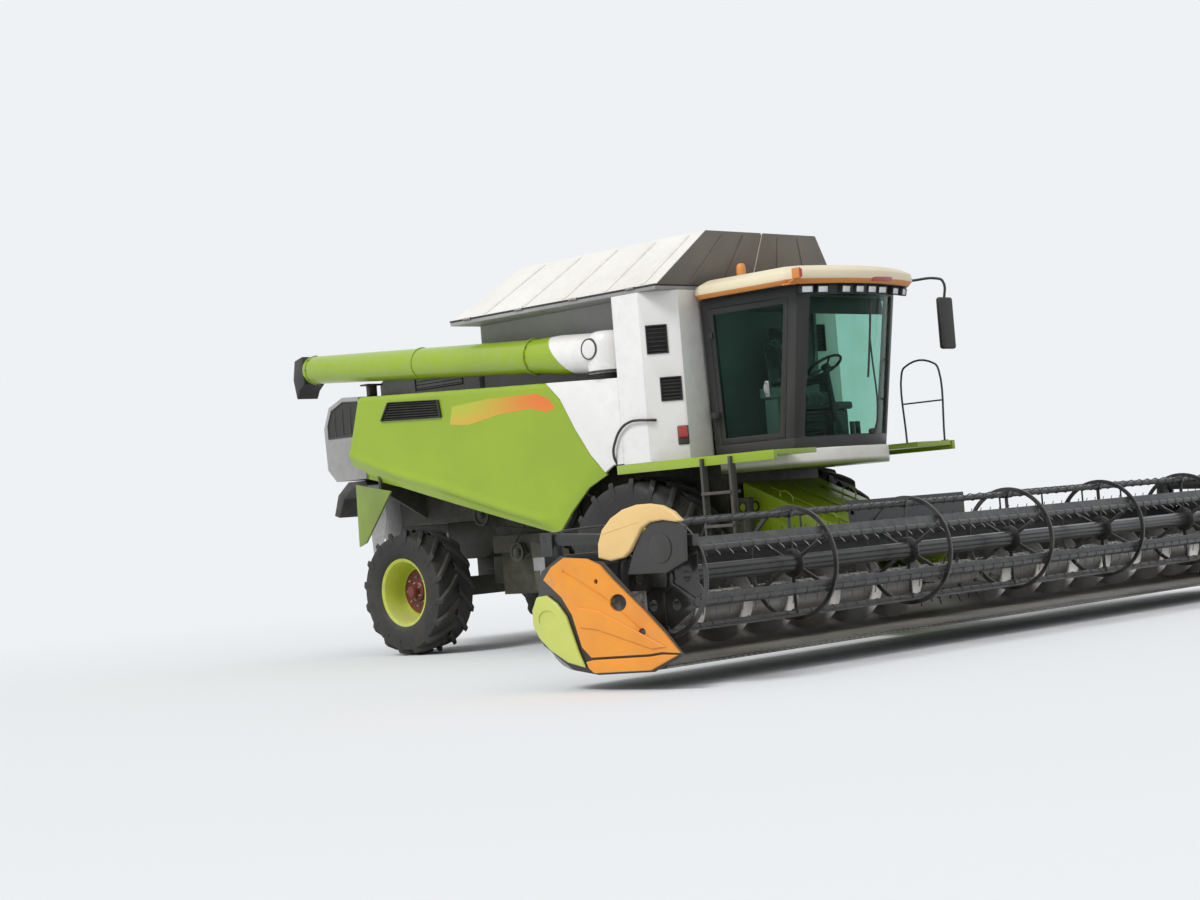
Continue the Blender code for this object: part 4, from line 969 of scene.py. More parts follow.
for tag, side in SIDES:
    body = f"tank_cover_{tag}"
    cover = rounded(merged_copy(body, f"{body}_shell"), 0.014, 3, 20)
    settle(cover, body, cover_white, [body], 30)
    # faces that look forward take the dark grey, which is partly painted shade
    patched(cover, gable_grey_painted_shade, lambda face: face.normal.x > 0.80)
    ribs, front_ribs = [], []
    for face, places in (
        ("side", (0.16, 0.36, 0.56, 0.76, 0.93)), ("rear", (0.30, 0.65)), ("front", (0.30, 0.65))
    ):
        for u in places:
            low, high = 0.06, 0.94
            wide = 0.030 / (3.0 if face == "side" else 1.2)
            ring = [
                on_cover(face, u - wide, low, side, -0.002), on_cover(face, u + wide, low, side, -0.002),
                on_cover(face, u + wide, high, side, -0.002), on_cover(face, u - wide, high, side, -0.002)]
            normal = (ring[1] - ring[0]).cross(ring[3] - ring[0]).normalized()
            centre = sum(ring, Vector()) / 4
            if normal.dot(centre - Vector((AXLE - 0.9, side * 0.4, 3.9))) < 0:
                normal.negate()
            rib = lengthened(drawn("rib", ring), normal * 0.012)
            (front_ribs if face == "front" else ribs).append(rounded(rib, 0.008, 2, 40))
    fit(f"{body}_ribs", ribs, cover_white, body, (), 50)
    fit(f"{body}_gable_ribs", front_ribs, gable_grey_painted_shade, body, (), 50)
    trims = []
    edge = 1.496
    for a, b in (
        ((-2.598, edge), (0.598, edge)), ((-2.598, 0.012), (-2.598, edge)), ((0.598, 0.012), (0.598, edge))
    ):
        trims.append(
            pipe(
                "seal", [(AXLE + a[0], side * a[1], 3.7500), (AXLE + b[0], side * b[1], 3.7500)], 0.009, 5,
                False))
    fit(f"{body}_seal", trims, rubber_seal, body)
    hinges = []
    for x in (-2.30, -1.45, -0.60, 0.25):
        hinges.append(
            rounded(
                strip(
                    "leaf", (AXLE + x - 0.06, min(side * 1.47, side * 1.512), 3.748),
                    (AXLE + x + 0.06, max(side * 1.47, side * 1.512), 3.762)),
                0.003))
        hinges.append(round_bar(16, 0.011, 0.12, (AXLE + x, side * 1.506, 3.751), LENGTHWISE))
    fit(f"{body}_hinges", hinges, steel_finish, body)

# Unloading tube. A rolled green tube with bolted flanges swings on a white turret; the paint changes
# from white to green along a slant, and a dark hood closes the end.
TUBE_Y, TUBE_X, TUBE_Z, TUBE_RISE, TUBE_END = 1.34, AXLE - 0.30, 3.15, 0.068, AXLE - 5.36


def tube_line(x):
    """Centre of the tube at a place along the machine."""
    return Vector((x, -TUBE_Y, TUBE_Z + (TUBE_X - x) * TUBE_RISE))


turret_paint = painted(
    "turret_paint", (0.89, 0.88, 0.86), (0.84, 0.83, 0.81), under=(0.42, 0.43, 0.40), rough=0.28, coat=0.3,
    dust=0.06, top=5.0, wear=0.25)
tree = turret_paint.node_tree
shader = tree.nodes["Principled BSDF"]
place = joint_node(tree, "ShaderNodeTexCoord")
parts = joint_node(tree, "ShaderNodeSeparateXYZ")
wire(tree, (place.outputs["Object"], parts.inputs[0]))
lean = joint_node(tree, "ShaderNodeMath", operation="ADD")
lower = joint_node(tree, "ShaderNodeMath", operation="MULTIPLY")
lower.inputs[1].default_value = 0.75
wire(
    tree, (parts.outputs["Z"], lower.inputs[0]), (lower.outputs[0], lean.inputs[0]),
    (parts.outputs["X"], lean.inputs[1]))
whiter = shader.inputs["Base Color"].links[0].from_socket
edge_at = AXLE - 0.92 + 0.75 * 3.19
wire(
    tree,
    (
        blended(tree, ranged(tree, lean.outputs[0], edge_at, edge_at + 0.006, soft=False), LIME, whiter),
        shader.inputs["Base Color"]))

axis = Vector((-1, 0, TUBE_RISE)).normalized()
upward = Vector((0, 0, 1)) - axis * axis.z
upward.normalize()


def tube_ring(name, profile, steps=64):
    """A shape turned round the tube's centre line from rows of (place along the machine, radius)."""
    return spun(name, [tube_line(x) + upward * r for x, r in profile], tube_line(TUBE_X), axis, steps)


front = tube_ring(
    "unload_elbow",
    [
        (TUBE_X + 0.02, 0.0), (TUBE_X + 0.02, 0.214), (AXLE - 0.98, 0.214), (AXLE - 1.02, 0.210),
        (AXLE - 1.32, 0.190), (AXLE - 1.40, 0.188), (AXLE - 1.40, 0.0)])
dome = spun(
    "unload_dome",
    [
        Vector((TUBE_X + r, -TUBE_Y, z))
        for r, z in (
            (0.0, 2.931), (0.224, 2.931), (0.224, 3.20), (0.219, 3.26), (0.205, 3.31), (0.178, 3.350),
            (0.130, 3.374), (0.06, 3.3795), (0.0, 3.3798))],
    (TUBE_X, -TUBE_Y, 3), (0, 0, 1), 64)
fit("unload_turret", [front, dome], turret_paint, "unloader", ["unload_tube"], 30)
rings = [
    tube_ring("flange", [(x, 0.15), (x, r), (x - w, r), (x - w, 0.15)])
    for x, r, w in (
        (AXLE - 1.395, 0.206, 0.012), (AXLE - 1.409, 0.206, 0.012), (AXLE - 3.30, 0.190, 0.010),
        (AXLE - 5.30, 0.178, 0.012))]
tube = tube_ring(
    "unload_tube_barrel",
    [
        (AXLE - 1.40, 0.0), (AXLE - 1.40, 0.188), (AXLE - 3.30, 0.179), (TUBE_END, 0.168),
        (TUBE_END, 0.150), (TUBE_END + 0.30, 0.150), (TUBE_END + 0.30, 0.0)])
fit(
    "unload_tube_barrel", [rounded(r, 0.002, 2, 40) for r in rings] + [tube], green_paint,
    "unloader", (), 40)
bolts = []
for x, r, count in ((AXLE - 1.402, 0.198, 12), (AXLE - 5.306, 0.172, 8)):
    for i in range(count):
        turn = Matrix.Rotation(2 * math.pi * i / count, 3, axis)
        at = tube_line(x) + turn @ (upward * r)
        bolts.append(round_bar(6, 0.009, 0.036, at, axis.to_track_quat("Z", "Y").to_euler()))
fit("unload_bolts", bolts, nut_steel, "unloader", (), 30)
plate = spun(
    "turret_hatch",
    [
        Vector((TUBE_X - 0.06 + r, y, 3.19))
        for r, y in (
            (0.0, -TUBE_Y - 0.19), (0.0, -TUBE_Y - 0.232), (0.092, -TUBE_Y - 0.232),
            (0.100, -TUBE_Y - 0.228), (0.100, -TUBE_Y - 0.19))],
    (TUBE_X - 0.06, 0, 3.19), (0, 1, 0), 48)
settle(plate, "unloader", white_paint, (), 30)
collar = spun(
    "turret_hatch_rim",
    [
        Vector((TUBE_X - 0.06 + r, y, 3.19))
        for r, y in (
            (0.100, -TUBE_Y - 0.20), (0.100, -TUBE_Y - 0.234), (0.112, -TUBE_Y - 0.234),
            (0.116, -TUBE_Y - 0.20))],
    (TUBE_X - 0.06, 0, 3.19), (0, 1, 0), 48)
settle(collar, "unloader", black_paint, (), 30)
base = spun(
    "turret_base",
    [
        Vector((TUBE_X + r, -TUBE_Y, z))
        for r, z in ((0.10, 2.9315), (0.236, 2.9315), (0.236, 2.955), (0.10, 2.955))],
    (TUBE_X, -TUBE_Y, 3), (0, 0, 1), 64)
settle(rounded(base, 0.003), "unloader", black_paint, (), 30)
spout = rounded(merged_copy("unload_spout", "unload_spout_hood"), 0.012, 3, 30)
settle(spout, "unloader", black_paint, ["unload_spout"])
cradle = [
    axle_bar("post", (-4.30, -1.40, 3.07), (-4.24, -1.28, 3.20), 0.006),
    axle_bar("pad", (-4.34, -1.46, 3.195), (-4.20, -1.22, 3.215), 0.006)]
fit("unload_cradle", cradle, black_paint)

# Cab. A welded steel shell with thin black posts and sill round large green-tinted panes, a moulded cream
# roof with an orange lower edge and work lamps under its front, a wiper, and the driver's seat and controls.
# The apron below it is white, with painted shade that darkens it to olive at its foot.
CAB_MID = AXLE + 1.20
SILL_TOP = 2.056
trim_black = painted(
    "trim_black", (0.014, 0.015, 0.015), (0.024, 0.024, 0.024), under=(0.10, 0.10, 0.10), rough=0.48,
    dust=0.12, top=4.5, wear=0.2)
trim_grey = painted(
    "trim_grey", (0.150, 0.155, 0.155), (0.120, 0.123, 0.124), under=(0.2, 0.2, 0.2), rough=0.62, dust=0.15,
    top=4.5, wear=0.2)
door_black = painted(
    "door_black", (0.020, 0.021, 0.022), (0.030, 0.030, 0.031), under=(0.1, 0.1, 0.1), rough=0.40,
    dust=0.12, top=4.5, wear=0.2)


def looks_inside(face):
    """True for a face of the cab's shell that looks into the cab or up."""
    outward = face.normal.dot(face.center - Vector((CAB_MID, 0, face.center.z))) > 0
    return not outward or face.normal.z > 0.7


for name, low, high, finish in (
    ("cab_sill", 1.90, SILL_TOP, door_black), ("cab_posts", SILL_TOP, 3.70, trim_black)
):
    shell = merged_copy("cab_shell", name)
    trimmed(shell, strip("part", (AXLE + 0.3, -1.3, low), (AXLE + 2.6, 1.3, high)), "INTERSECT")
    rounded(shell, 0.008, 3, 30)
    settle(shell, "machine", finish, ["cab_shell"], 30)
    patched(shell, trim_grey, looks_inside)
apron_white_painted_shade = painted(
    "apron_white_painted_shade", (0.88, 0.87, 0.82), (0.82, 0.81, 0.76), under=(0.3, 0.3, 0.26), rough=0.34, coat=0.2,
    dust=0.10, top=3.2, wear=0.25)
tree = apron_white_painted_shade.node_tree
shader = tree.nodes["Principled BSDF"]
place = joint_node(tree, "ShaderNodeTexCoord")
parts = joint_node(tree, "ShaderNodeSeparateXYZ")
wire(tree, (place.outputs["Object"], parts.inputs[0]))
white_above = shader.inputs["Base Color"].links[0].from_socket
apron_foot, apron_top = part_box("cab_base")[0][2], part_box("cab_base")[1][2]
# painted shade: the apron's colour fades from white to dark olive towards its foot
shaded = ranged(tree, parts.outputs["Z"], apron_foot + 0.02, apron_foot + 0.40 * (apron_top - apron_foot))
wire(tree, (blended(tree, shaded, (0.16, 0.20, 0.045), white_above), shader.inputs["Base Color"]))
apron = rounded(merged_copy("cab_base", "cab_apron"), 0.016, 3, 30)
settle(apron, "machine", apron_white_painted_shade, ["cab_base"], 30)

glass, tree, shader, place = finish_tree("tinted_glass")
film = pattern(tree, place, "Noise", Scale=3.0, Detail=5.0)
wire(
    tree, (ranged(tree, film.outputs["Fac"], 0.42, 0.75, 0.015, 0.10), shader.inputs["Roughness"]),
    (
        blended(
            tree, ranged(tree, film.outputs["Fac"], 0.35, 0.75), (0.50, 0.73, 0.65), (0.46, 0.68, 0.59)),
        shader.inputs["Base Color"]))
tune(shader, Transmission_Weight=1.0, IOR=1.12)
for node, name in (
    ("windscreen", "windscreen_pane"), ("side_glass_L", "side_pane_L"), ("door_glass", "door_pane")
):
    pane = merged_copy(node, name)
    settle(pane, BODY_OF[node], glass, [node], 20)
frame_piece = rounded(merged_copy("door_frame", "door_frame_profile"), 0.006, 2, 30)
settle(frame_piece, "door", trim_black, ["door_frame"], 30)
handle = [
    axle_bar("plate", (1.42, -0.868, 2.50), (1.47, -0.852, 2.66), 0.004),
    bent_bar(
        "grip",
        [(1.445, -0.860, 2.52), (1.445, -0.892, 2.535), (1.445, -0.892, 2.625), (1.445, -0.860, 2.64)],
        0.008, 5)]
fit("door_handle", handle, steel_finish, "door")

roof = merged_copy("cab_roof", "cab_roof_cap")
rounded(roof, 0.022, 3, 18)
roof_cream = painted(
    "roof_cream", (0.86, 0.77, 0.56), (0.80, 0.71, 0.50), under=(0.6, 0.5, 0.35), rough=0.38, coat=0.2,
    dust=0.25, top=6.0)
roof_orange = painted(
    "roof_orange", (0.78, 0.30, 0.06), (0.66, 0.24, 0.05), under=(0.4, 0.3, 0.2), rough=0.42, dust=0.2,
    top=6.0)
settle(roof, "machine", roof_cream, ["cab_roof"], 40)
patched(roof, roof_orange, lambda face: face.center.z < 3.625)
patched(roof, trim_black, lambda face: face.normal.z < -0.85)

lamp_lens, tree, shader, place = finish_tree("lamp_lens")
flutes = pattern(tree, place, "Wave", Scale=22.0, wave_type="BANDS", bands_direction="Y")
height = joint_node(tree, "ShaderNodeBump", Strength=0.5, Distance=0.004)
wire(
    tree, (flutes.outputs["Fac"], height.inputs["Height"]),
    (height.outputs["Normal"], shader.inputs["Normal"]),
    (
        blended(tree, flutes.outputs["Fac"], (0.62, 0.66, 0.68), (0.80, 0.83, 0.85)),
        shader.inputs["Base Color"]))
tune(shader, Roughness=0.10, Metallic=0.35, Coat_Weight=1.0)


def work_lamp(name, at, aim, width=0.15, high=0.085, body="machine"):
    """A squared work lamp: a finned black housing and a fluted lens, on a small bracket."""
    half, tall = width / 2, high / 2
    turn = Matrix.Translation(at) @ Vector(aim).normalized().to_track_quat("X", "Z").to_matrix().to_4x4()
    case = rounded(strip(name + "_case", (-0.085, -half, -tall), (0.0, half, tall)), 0.012, 3)
    trimmed(
        case,
        rounded(
            strip("bowl", (-0.030, -half + 0.010, -tall + 0.010), (0.05, half - 0.010, tall - 0.010)), 0.008
        ))
    made = [case]
    for i in range(5):
        y = -half + 0.02 + i * (width - 0.04) / 4
        made.append(
            rounded(
                strip("fin", (-0.100, y - 0.003, -tall + 0.008), (-0.080, y + 0.003, tall - 0.008)), 0.0015)
        )
    made.append(
        rounded(strip("foot", (-0.055, -0.018, tall - 0.004), (-0.025, 0.018, tall + 0.030)), 0.003))
    case = joined(name + "_case", made)
    lens = rounded(
        strip(
            name + "_lens", (-0.024, -half + 0.0105, -tall + 0.0105), (-0.006, half - 0.0105, tall - 0.0105)
        ),
        0.006, 3)
    for piece, finish, slot in ((case, trim_black, "black"), (lens, lamp_lens, "glass")):
        piece.data.transform(turn)
        settle(piece, body, finish)


for i, (x, y, turn_y) in enumerate(
    (
        (2.13, -0.30, 0), (2.15, -0.10, 0), (2.15, 0.10, 0), (2.13, 0.30, 0), (2.03, -0.80, -0.35),
        (2.07, -0.60, -0.2), (2.07, 0.60, 0.2), (2.03, 0.80, 0.35))
):
    work_lamp(f"roof_lamp_{i + 1}", (AXLE + x, y, 3.520), (1, turn_y, -0.22))
band = axle_bar("roof_marker", (2.175, 0.02, 3.60), (2.215, 0.36, 3.645), 0.008, 3)
settle(band, "machine", red_lens)
bracket = [
    bent_bar("arm", [(1.93, -0.96, 3.60), (2.03, -1.03, 3.60), (2.12, -1.05, 3.64)], 0.013, 5),
    axle_bar("pad", (1.86, -1.00, 3.575), (1.98, -0.90, 3.590), 0.004),
    axle_bar("flag", (2.06, -1.075, 3.610), (2.16, -1.035, 3.72), 0.012, 3)]
fit("roof_corner_bracket", bracket, roof_orange)
marker = axle_bar("corner_marker", (2.155, -1.070, 3.625), (2.175, -1.040, 3.705), 0.006)
settle(marker, "machine", red_lens)
for tag, side in SIDES:
    x, y = AXLE + 1.02, side * 0.62
    stem = spun(
        f"beacon_base_{tag}",
        [
            (x + r, y, z)
            for r, z in ((0, 3.765), (0.062, 3.765), (0.062, 3.795), (0.050, 3.805), (0, 3.805))],
        (x, y, 3.8), (0, 0, 1), 32)
    settle(stem, "machine", trim_black, (), 30)
    lens = spun(
        f"beacon_{tag}",
        [
            (x + r, y, z)
            for r, z in (
                (0, 3.804), (0.048, 3.804), (0.050, 3.86), (0.045, 3.905), (0.028, 3.925), (0, 3.930))],
        (x, y, 3.8), (0, 0, 1), 32)
    settle(lens, "machine", roof_orange, (), 40)

# headlining and sun blind behind the glass, under the roof
lining = axle_bar("headlining", (0.73, -0.80, 3.46), (1.86, 0.80, 3.505), 0.02, 3)
settle(lining, "machine", trim_grey)
blind = axle_bar("sun_blind", (1.855, -0.60, 3.30), (1.868, 0.60, 3.47), 0.004)
settle(blind, "machine", trim_black)

arm = [
    bent_bar(
        "wiper", [(2.02, 0.10, 2.075), (2.075, 0.09, 2.20), (2.155, -0.02, 2.90), (2.175, -0.05, 3.05)],
        0.009, 5),
    bent_bar("blade", [(2.118, -0.06, 2.62), (2.170, -0.05, 3.00), (2.205, -0.03, 3.38)], 0.011, 5)]
boss = round_bar(24, 0.030, 0.06, (AXLE + 1.99, 0.10, 2.075), LENGTHWISE)
fit("wiper", arm + [rounded(boss, 0.005)], trim_black)

# driver's seat: padded cushions, headrest and armrests on an air-sprung base, with a control console
seat_cloth, tree, shader, place = finish_tree("seat_cloth")
warp = pattern(tree, place, "Wave", Scale=110.0, Distortion=0.6, wave_type="BANDS", bands_direction="Y")
weft = pattern(tree, place, "Wave", Scale=110.0, Distortion=0.6, wave_type="BANDS", bands_direction="Z")
worn_in = pattern(tree, place, "Noise", Scale=7.0, Detail=3.0)
weave = times(tree, warp.outputs["Fac"], weft.outputs["Fac"])
height = joint_node(tree, "ShaderNodeBump", Strength=0.6, Distance=0.002)
tone = blended(tree, weave, (0.030, 0.030, 0.034), (0.075, 0.072, 0.078))
wire(
    tree, (weave, height.inputs["Height"]), (height.outputs["Normal"], shader.inputs["Normal"]),
    (
        blended(tree, ranged(tree, worn_in.outputs["Fac"], 0.4, 0.7), tone, (0.095, 0.088, 0.085)),
        shader.inputs["Base Color"]))
tune(shader, Roughness=0.9, Sheen_Weight=0.4)


def cushion(name, size, at, tilt, crown, puff):
    """A padded cushion: a remeshed block blown up as cloth, with its seams drawn in, then smoothed."""
    pad = squared(size)
    pad.name = name
    rounded(pad, min(size) * 0.30, 4, 30)
    change = pad.modifiers.new("fine", "REMESH")
    change.mode = "VOXEL"
    change.voxel_size = 0.006
    apply(pad, "fine")
    start = [vert.co.copy() for vert in pad.data.vertices]
    cloth = pad.modifiers.new("fill", "CLOTH")
    cloth.settings.use_pressure = True
    cloth.settings.uniform_pressure_force = 4.0
    cloth.settings.effector_weights.gravity = 0.0
    cloth.settings.quality = 5
    cloth.point_cache.frame_start = 1
    cloth.point_cache.frame_end = 20
    for step in range(1, 21):
        bpy.context.scene.frame_set(step)
    apply(pad, "fill")
    bpy.context.scene.frame_set(1)
    for vert, rest in zip(pad.data.vertices, start):
        moved = vert.co - rest
        if moved.length > puff:
            vert.co = rest + moved * (puff / moved.length)
    half = [v / 2 for v in size]
    for vert, rest in zip(pad.data.vertices, start):
        u, v = rest.x / half[0], rest.y / half[1]
        if crown == "top":
            vert.co.z += 0.018 * (1 - u * u) * (1 - v * v) * (1 if rest.z > 0 else 0)
            for seam in (-0.52, 0.52):
                vert.co.z -= 0.012 * math.exp(-((v - seam) / 0.05) ** 2) * (1 if rest.z > 0 else 0)
        else:
            w = rest.z / half[2]
            front = 1 if rest.x > 0 else 0
            vert.co.x += 0.020 * (1 - v * v) * (1 - w * w) * front
            vert.co.x += 0.030 * max(0, abs(v) - 0.62) * front
            for seam in (-0.52, 0.52):
                vert.co.x -= 0.012 * math.exp(-((v - seam) / 0.05) ** 2) * front
            for seam in (-0.35, 0.30):
                vert.co.x -= 0.010 * math.exp(
                    -((w - seam) / 0.05) ** 2) * front * (1 if abs(v) < 0.52 else 0)
    pad.data.transform(Matrix.Translation(at) @ Matrix.Rotation(math.radians(tilt), 4, "Y"))
    change = pad.modifiers.new("smooth", "SUBSURF")
    change.levels = change.render_levels = 1
    apply(pad, "smooth")
    return pad


# name, size, middle, tilt in degrees, crowned side, furthest bulge, fill, solid it stands for
CUSHIONS = (
    ("seat_squab", (0.44, 0.46, 0.12), (1.20, 0, 2.455), -3, "top", 0.022, 0.75, ["seat"]),
    ("seat_backrest", (0.12, 0.44, 0.60), (0.955, 0, 2.80), -7, "front", 0.022, 0.75, ()),
    ("seat_headrest", (0.075, 0.24, 0.14), (0.905, 0, 3.20), -7, "front", 0.010, 0.8, ()),
    ("seat_armrest_R", (0.30, 0.055, 0.05), (1.20, -0.275, 2.68), 0, "top", 0.006, 0.85, ()),
    ("seat_armrest_L", (0.30, 0.055, 0.05), (1.20, 0.275, 2.68), 0, "top", 0.006, 0.85, ()),
)
for name, size, (x, y, z), tilt, crown, puff, fill, stands_for in CUSHIONS:
    pad = cushion(name, size, (AXLE + x, y, z), tilt, crown, puff)
    settle(pad, "machine", seat_cloth, stands_for, 60)
suspension = [
    axle_bar("plate", (1.00, -0.20, 2.36), (1.38, 0.20, 2.392), 0.008),
    axle_bar("foot", (1.00, -0.18, 2.005), (1.38, 0.18, 2.04), 0.008)]
for k in range(7):
    z = 2.045 + k * 0.044
    suspension.append(
        rounded(
            strip(
                "fold", (AXLE + 1.03 + 0.012 * (k % 2), -0.165 + 0.012 * (k % 2), z),
                (AXLE + 1.35 - 0.012 * (k % 2), 0.165 - 0.012 * (k % 2), z + 0.046)),
            0.014, 3))
for side in (-1, 1):
    suspension.append(
        bent_bar(
            "arm", [(0.97, side * 0.235, 2.62), (1.06, side * 0.275, 2.648), (1.32, side * 0.275, 2.648)],
            0.012, 5))
    suspension.append(
        bent_bar("stalk", [(0.925, side * 0.06, 3.02), (0.915, side * 0.06, 3.16)], 0.007, 5, False))
fit("seat_base", suspension, trim_black)
console = [
    axle_bar("box", (0.98, -0.45, 2.50), (1.46, -0.325, 2.62), 0.02, 3),
    axle_bar("leg", (1.02, -0.42, 2.005), (1.20, -0.355, 2.51), 0.012),
    bent_bar("lever", [(1.40, -0.385, 2.62), (1.41, -0.385, 2.72)], 0.010, 5),
    axle_bar("knob", (1.385, -0.410, 2.71), (1.44, -0.360, 2.79), 0.018, 3),
    axle_bar("screen_back", (1.50, -0.60, 2.78), (1.53, -0.40, 2.96), 0.010, 3),
    bent_bar("screen_stalk", [(1.46, -0.40, 2.60), (1.52, -0.46, 2.70), (1.52, -0.50, 2.80)], 0.011, 5)]
fit("seat_console", console, trim_grey)
keys = []
for i in range(4):
    for k in range(2):
        keys.append(
            axle_bar(
                "key", (1.06 + i * 0.06, -0.425 + k * 0.045, 2.618),
                (1.10 + i * 0.06, -0.395 + k * 0.045, 2.630), 0.004))
fit("console_keys", keys, trim_black)
display = axle_bar("console_screen", (1.496, -0.588, 2.792), (1.501, -0.412, 2.948), 0.001, 1)
settle(display, "machine", lamp_lens)

# steering column with a rubber boot, three-spoke wheel and pedals
tilt = Matrix.Translation((AXLE + 1.52, 0, 2.80)) @ Matrix.Rotation(math.radians(-30), 4, "Y")
clear()
bpy.ops.mesh.primitive_torus_add(
    major_segments=64, minor_segments=14, major_radius=0.185, minor_radius=0.0145)
wheel = bpy.context.object
hub = spun(
    "hub",
    [(r, 0, z) for r, z in ((0, -0.045), (0.036, -0.045), (0.052, -0.020), (0.046, 0.004), (0, 0.010))],
    (0, 0, 0), (0, 0, 1), 32)
spokes = [wheel, hub]
for angle in (90, 210, 330):
    a = math.radians(angle)
    spokes.append(
        pipe(
            "spoke",
            [
                (0.03 * math.cos(a), 0.03 * math.sin(a), -0.018),
                (0.11 * math.cos(a), 0.11 * math.sin(a), -0.016),
                (0.182 * math.cos(a), 0.182 * math.sin(a), 0)],
            0.010, 5))
wheel = joined("wheel", spokes)
wheel.data.transform(tilt)
column = [
    wheel, bent_bar("column", [(1.64, 0, 2.03), (1.58, 0, 2.40), (1.527, 0, 2.775)], 0.032, 8),
    axle_bar("foot", (1.56, -0.09, 2.003), (1.72, 0.09, 2.05), 0.012, 3)]
for k in range(5):
    x, z, r = AXLE + 1.632 - k * 0.006, 2.06 + k * 0.035, 0.066 - k * 0.006
    column.append(
        spun(
            "boot",
            [
                (x + q, 0, h)
                for q, h in ((0.0, z), (r, z), (r * 1.08, z + 0.014), (r, z + 0.030), (0, z + 0.030))],
            (x, 0, z), (0, 0, 1), 24))
for y in (-0.16, 0.13, 0.22):
    column.append(axle_bar("pedal", (1.70, y - 0.035, 2.06), (1.72, y + 0.035, 2.20), 0.006))
    column.append(bent_bar("pedal_arm", [(1.76, y, 2.01), (1.73, y, 2.08)], 0.008, 5, False))
fit("steering_column_dressed", column, trim_black, "machine", ["steering_column"])
mat = axle_bar("floor_mat", (0.78, -0.68, 2.001), (1.64, 0.68, 2.012), 0.004)
settle(mat, "machine", rubber_seal)
passenger = [
    axle_bar("squab", (0.98, 0.42, 2.36), (1.30, 0.70, 2.44), 0.025, 4),
    axle_bar("back", (0.80, 0.42, 2.44), (0.87, 0.70, 2.84), 0.025, 4),
    axle_bar("box", (0.80, 0.44, 2.012), (1.24, 0.68, 2.36), 0.02, 3)]
fit("second_seat", passenger, trim_grey)

# left mirror: a tall moulded housing with its glass, on a bent tubular arm
case = axle_bar("case", (2.195, 1.095, 2.895), (2.262, 1.325, 3.445), 0.028, 4)
mirror = [
    case,
    bent_bar(
        "arm",
        [
            (1.82, 1.035, 3.655), (1.95, 1.09, 3.66), (2.16, 1.195, 3.655), (2.228, 1.21, 3.62),
            (2.228, 1.21, 3.40)],
        0.014, 6),
    axle_bar("foot", (1.76, 1.021, 3.62), (1.88, 1.045, 3.69), 0.004)]
fit("mirror_housing", mirror, trim_black, "machine", ["mirror"])
mirror_glass = axle_bar("mirror_glass", (2.190, 1.115, 2.915), (2.197, 1.305, 3.425), 0.003)
settle(mirror_glass, "machine", lamp_lens)

# Rear of the machine. Screened corners and a panelled tail door on the straw hood, tail lamps, the deflector
# flaps below, and the belt drives, guards and pan between the wheels, all bolted to the body.
mesh_black, tree, shader, place = finish_tree("screen_mesh")
weave_x = pattern(tree, place, "Wave", Scale=26.0, wave_type="BANDS", bands_direction="X")
weave_z = pattern(tree, place, "Wave", Scale=26.0, wave_type="BANDS", bands_direction="Z")
lattice = times(tree, weave_x.outputs["Fac"], weave_z.outputs["Fac"])
height = joint_node(tree, "ShaderNodeBump", Strength=0.7, Distance=0.003)
wire(
    tree, (lattice, height.inputs["Height"]), (height.outputs["Normal"], shader.inputs["Normal"]),
    (blended(tree, lattice, (0.032, 0.033, 0.028), (0.008, 0.009, 0.008)), shader.inputs["Base Color"]))
tune(shader, Roughness=0.55)
HOOD_SIDE = 1.4195  # just off the straw hood's side
for tag, side in SIDES:
    outline = ((-4.46, 2.62), (-4.46, 3.03), (-4.74, 3.05), (-4.97, 2.96), (-5.06, 2.78), (-5.06, 2.62))
    screen = flat_plate(f"corner_screen_{tag}", outline, side * HOOD_SIDE, side * 0.005)
    settle(screen, "machine", mesh_black)
    frame_ring = flat_plate("ring", outline, side * HOOD_SIDE, side * 0.012)
    opening = [(-4.76 + (x + 4.76) * 0.93, 2.83 + (z - 2.83) * 0.90) for x, z in outline]
    trimmed(frame_ring, flat_plate("in", opening, side * 1.40, side * 0.10))
    trim = [rounded(frame_ring, 0.004, 2, 40)]
    for k in range(1, 4):
        x = -4.46 - k * 0.15
        trim.append(
            rounded(
                strip(
                    "bar", (AXLE + x - 0.006, min(side * HOOD_SIDE, side * 1.430), 2.63),
                    (AXLE + x + 0.006, max(side * HOOD_SIDE, side * 1.430), 2.97)),
                0.002))
    fit(f"corner_screen_frame_{tag}", trim, black_paint)
    flap = flat_plate(
        f"chopper_flap_{tag}",
        (
            (-4.60, 2.03), (-4.60, 1.62), (-4.70, 1.30), (-4.80, 1.16), (-4.90, 1.20), (-4.93, 1.60),
            (-4.92, 2.03)),
        side * 0.985, side * 0.006)
    settle(rounded(flap, 0.002, 1, 40), "machine", grey_paint)
    lamp = axle_bar(
        f"rear_lamp_{tag}", (-5.150, side * 1.22 - 0.085, 2.56), (-5.118, side * 1.22 + 0.085, 2.64), 0.008,
        3)
    settle(lamp, "machine", red_lens)
    base = axle_bar(
        "lamp_base", (-5.140, side * 1.22 - 0.100, 2.545), (-5.100, side * 1.22 + 0.100, 2.655), 0.006)
    settle(base, "machine", black_paint)
door = [axle_bar("panel", (-5.146, -0.95, 2.30), (-5.118, 0.95, 2.70), 0.010, 3)]
for y in (-0.60, 0.0, 0.60):
    door.append(axle_bar("rib", (-5.152, y - 0.03, 2.34), (-5.140, y + 0.03, 2.66), 0.005))
door.append(
    bent_bar(
        "handle",
        [(-5.140, -0.12, 2.40), (-5.185, -0.10, 2.40), (-5.185, 0.10, 2.40), (-5.140, 0.12, 2.40)], 0.010, 5
    ))
fit("tail_door", door, grey_paint)
hood_vents = [
    louvre("hood_vent", (AXLE - 4.382, y, 2.98), Vector((-1, 0, 0)), 0.80, 0.34, 7) for y in (-0.55, 0.62)]
fit("engine_hood_vents", hood_vents, vent_black)
side_vents = []
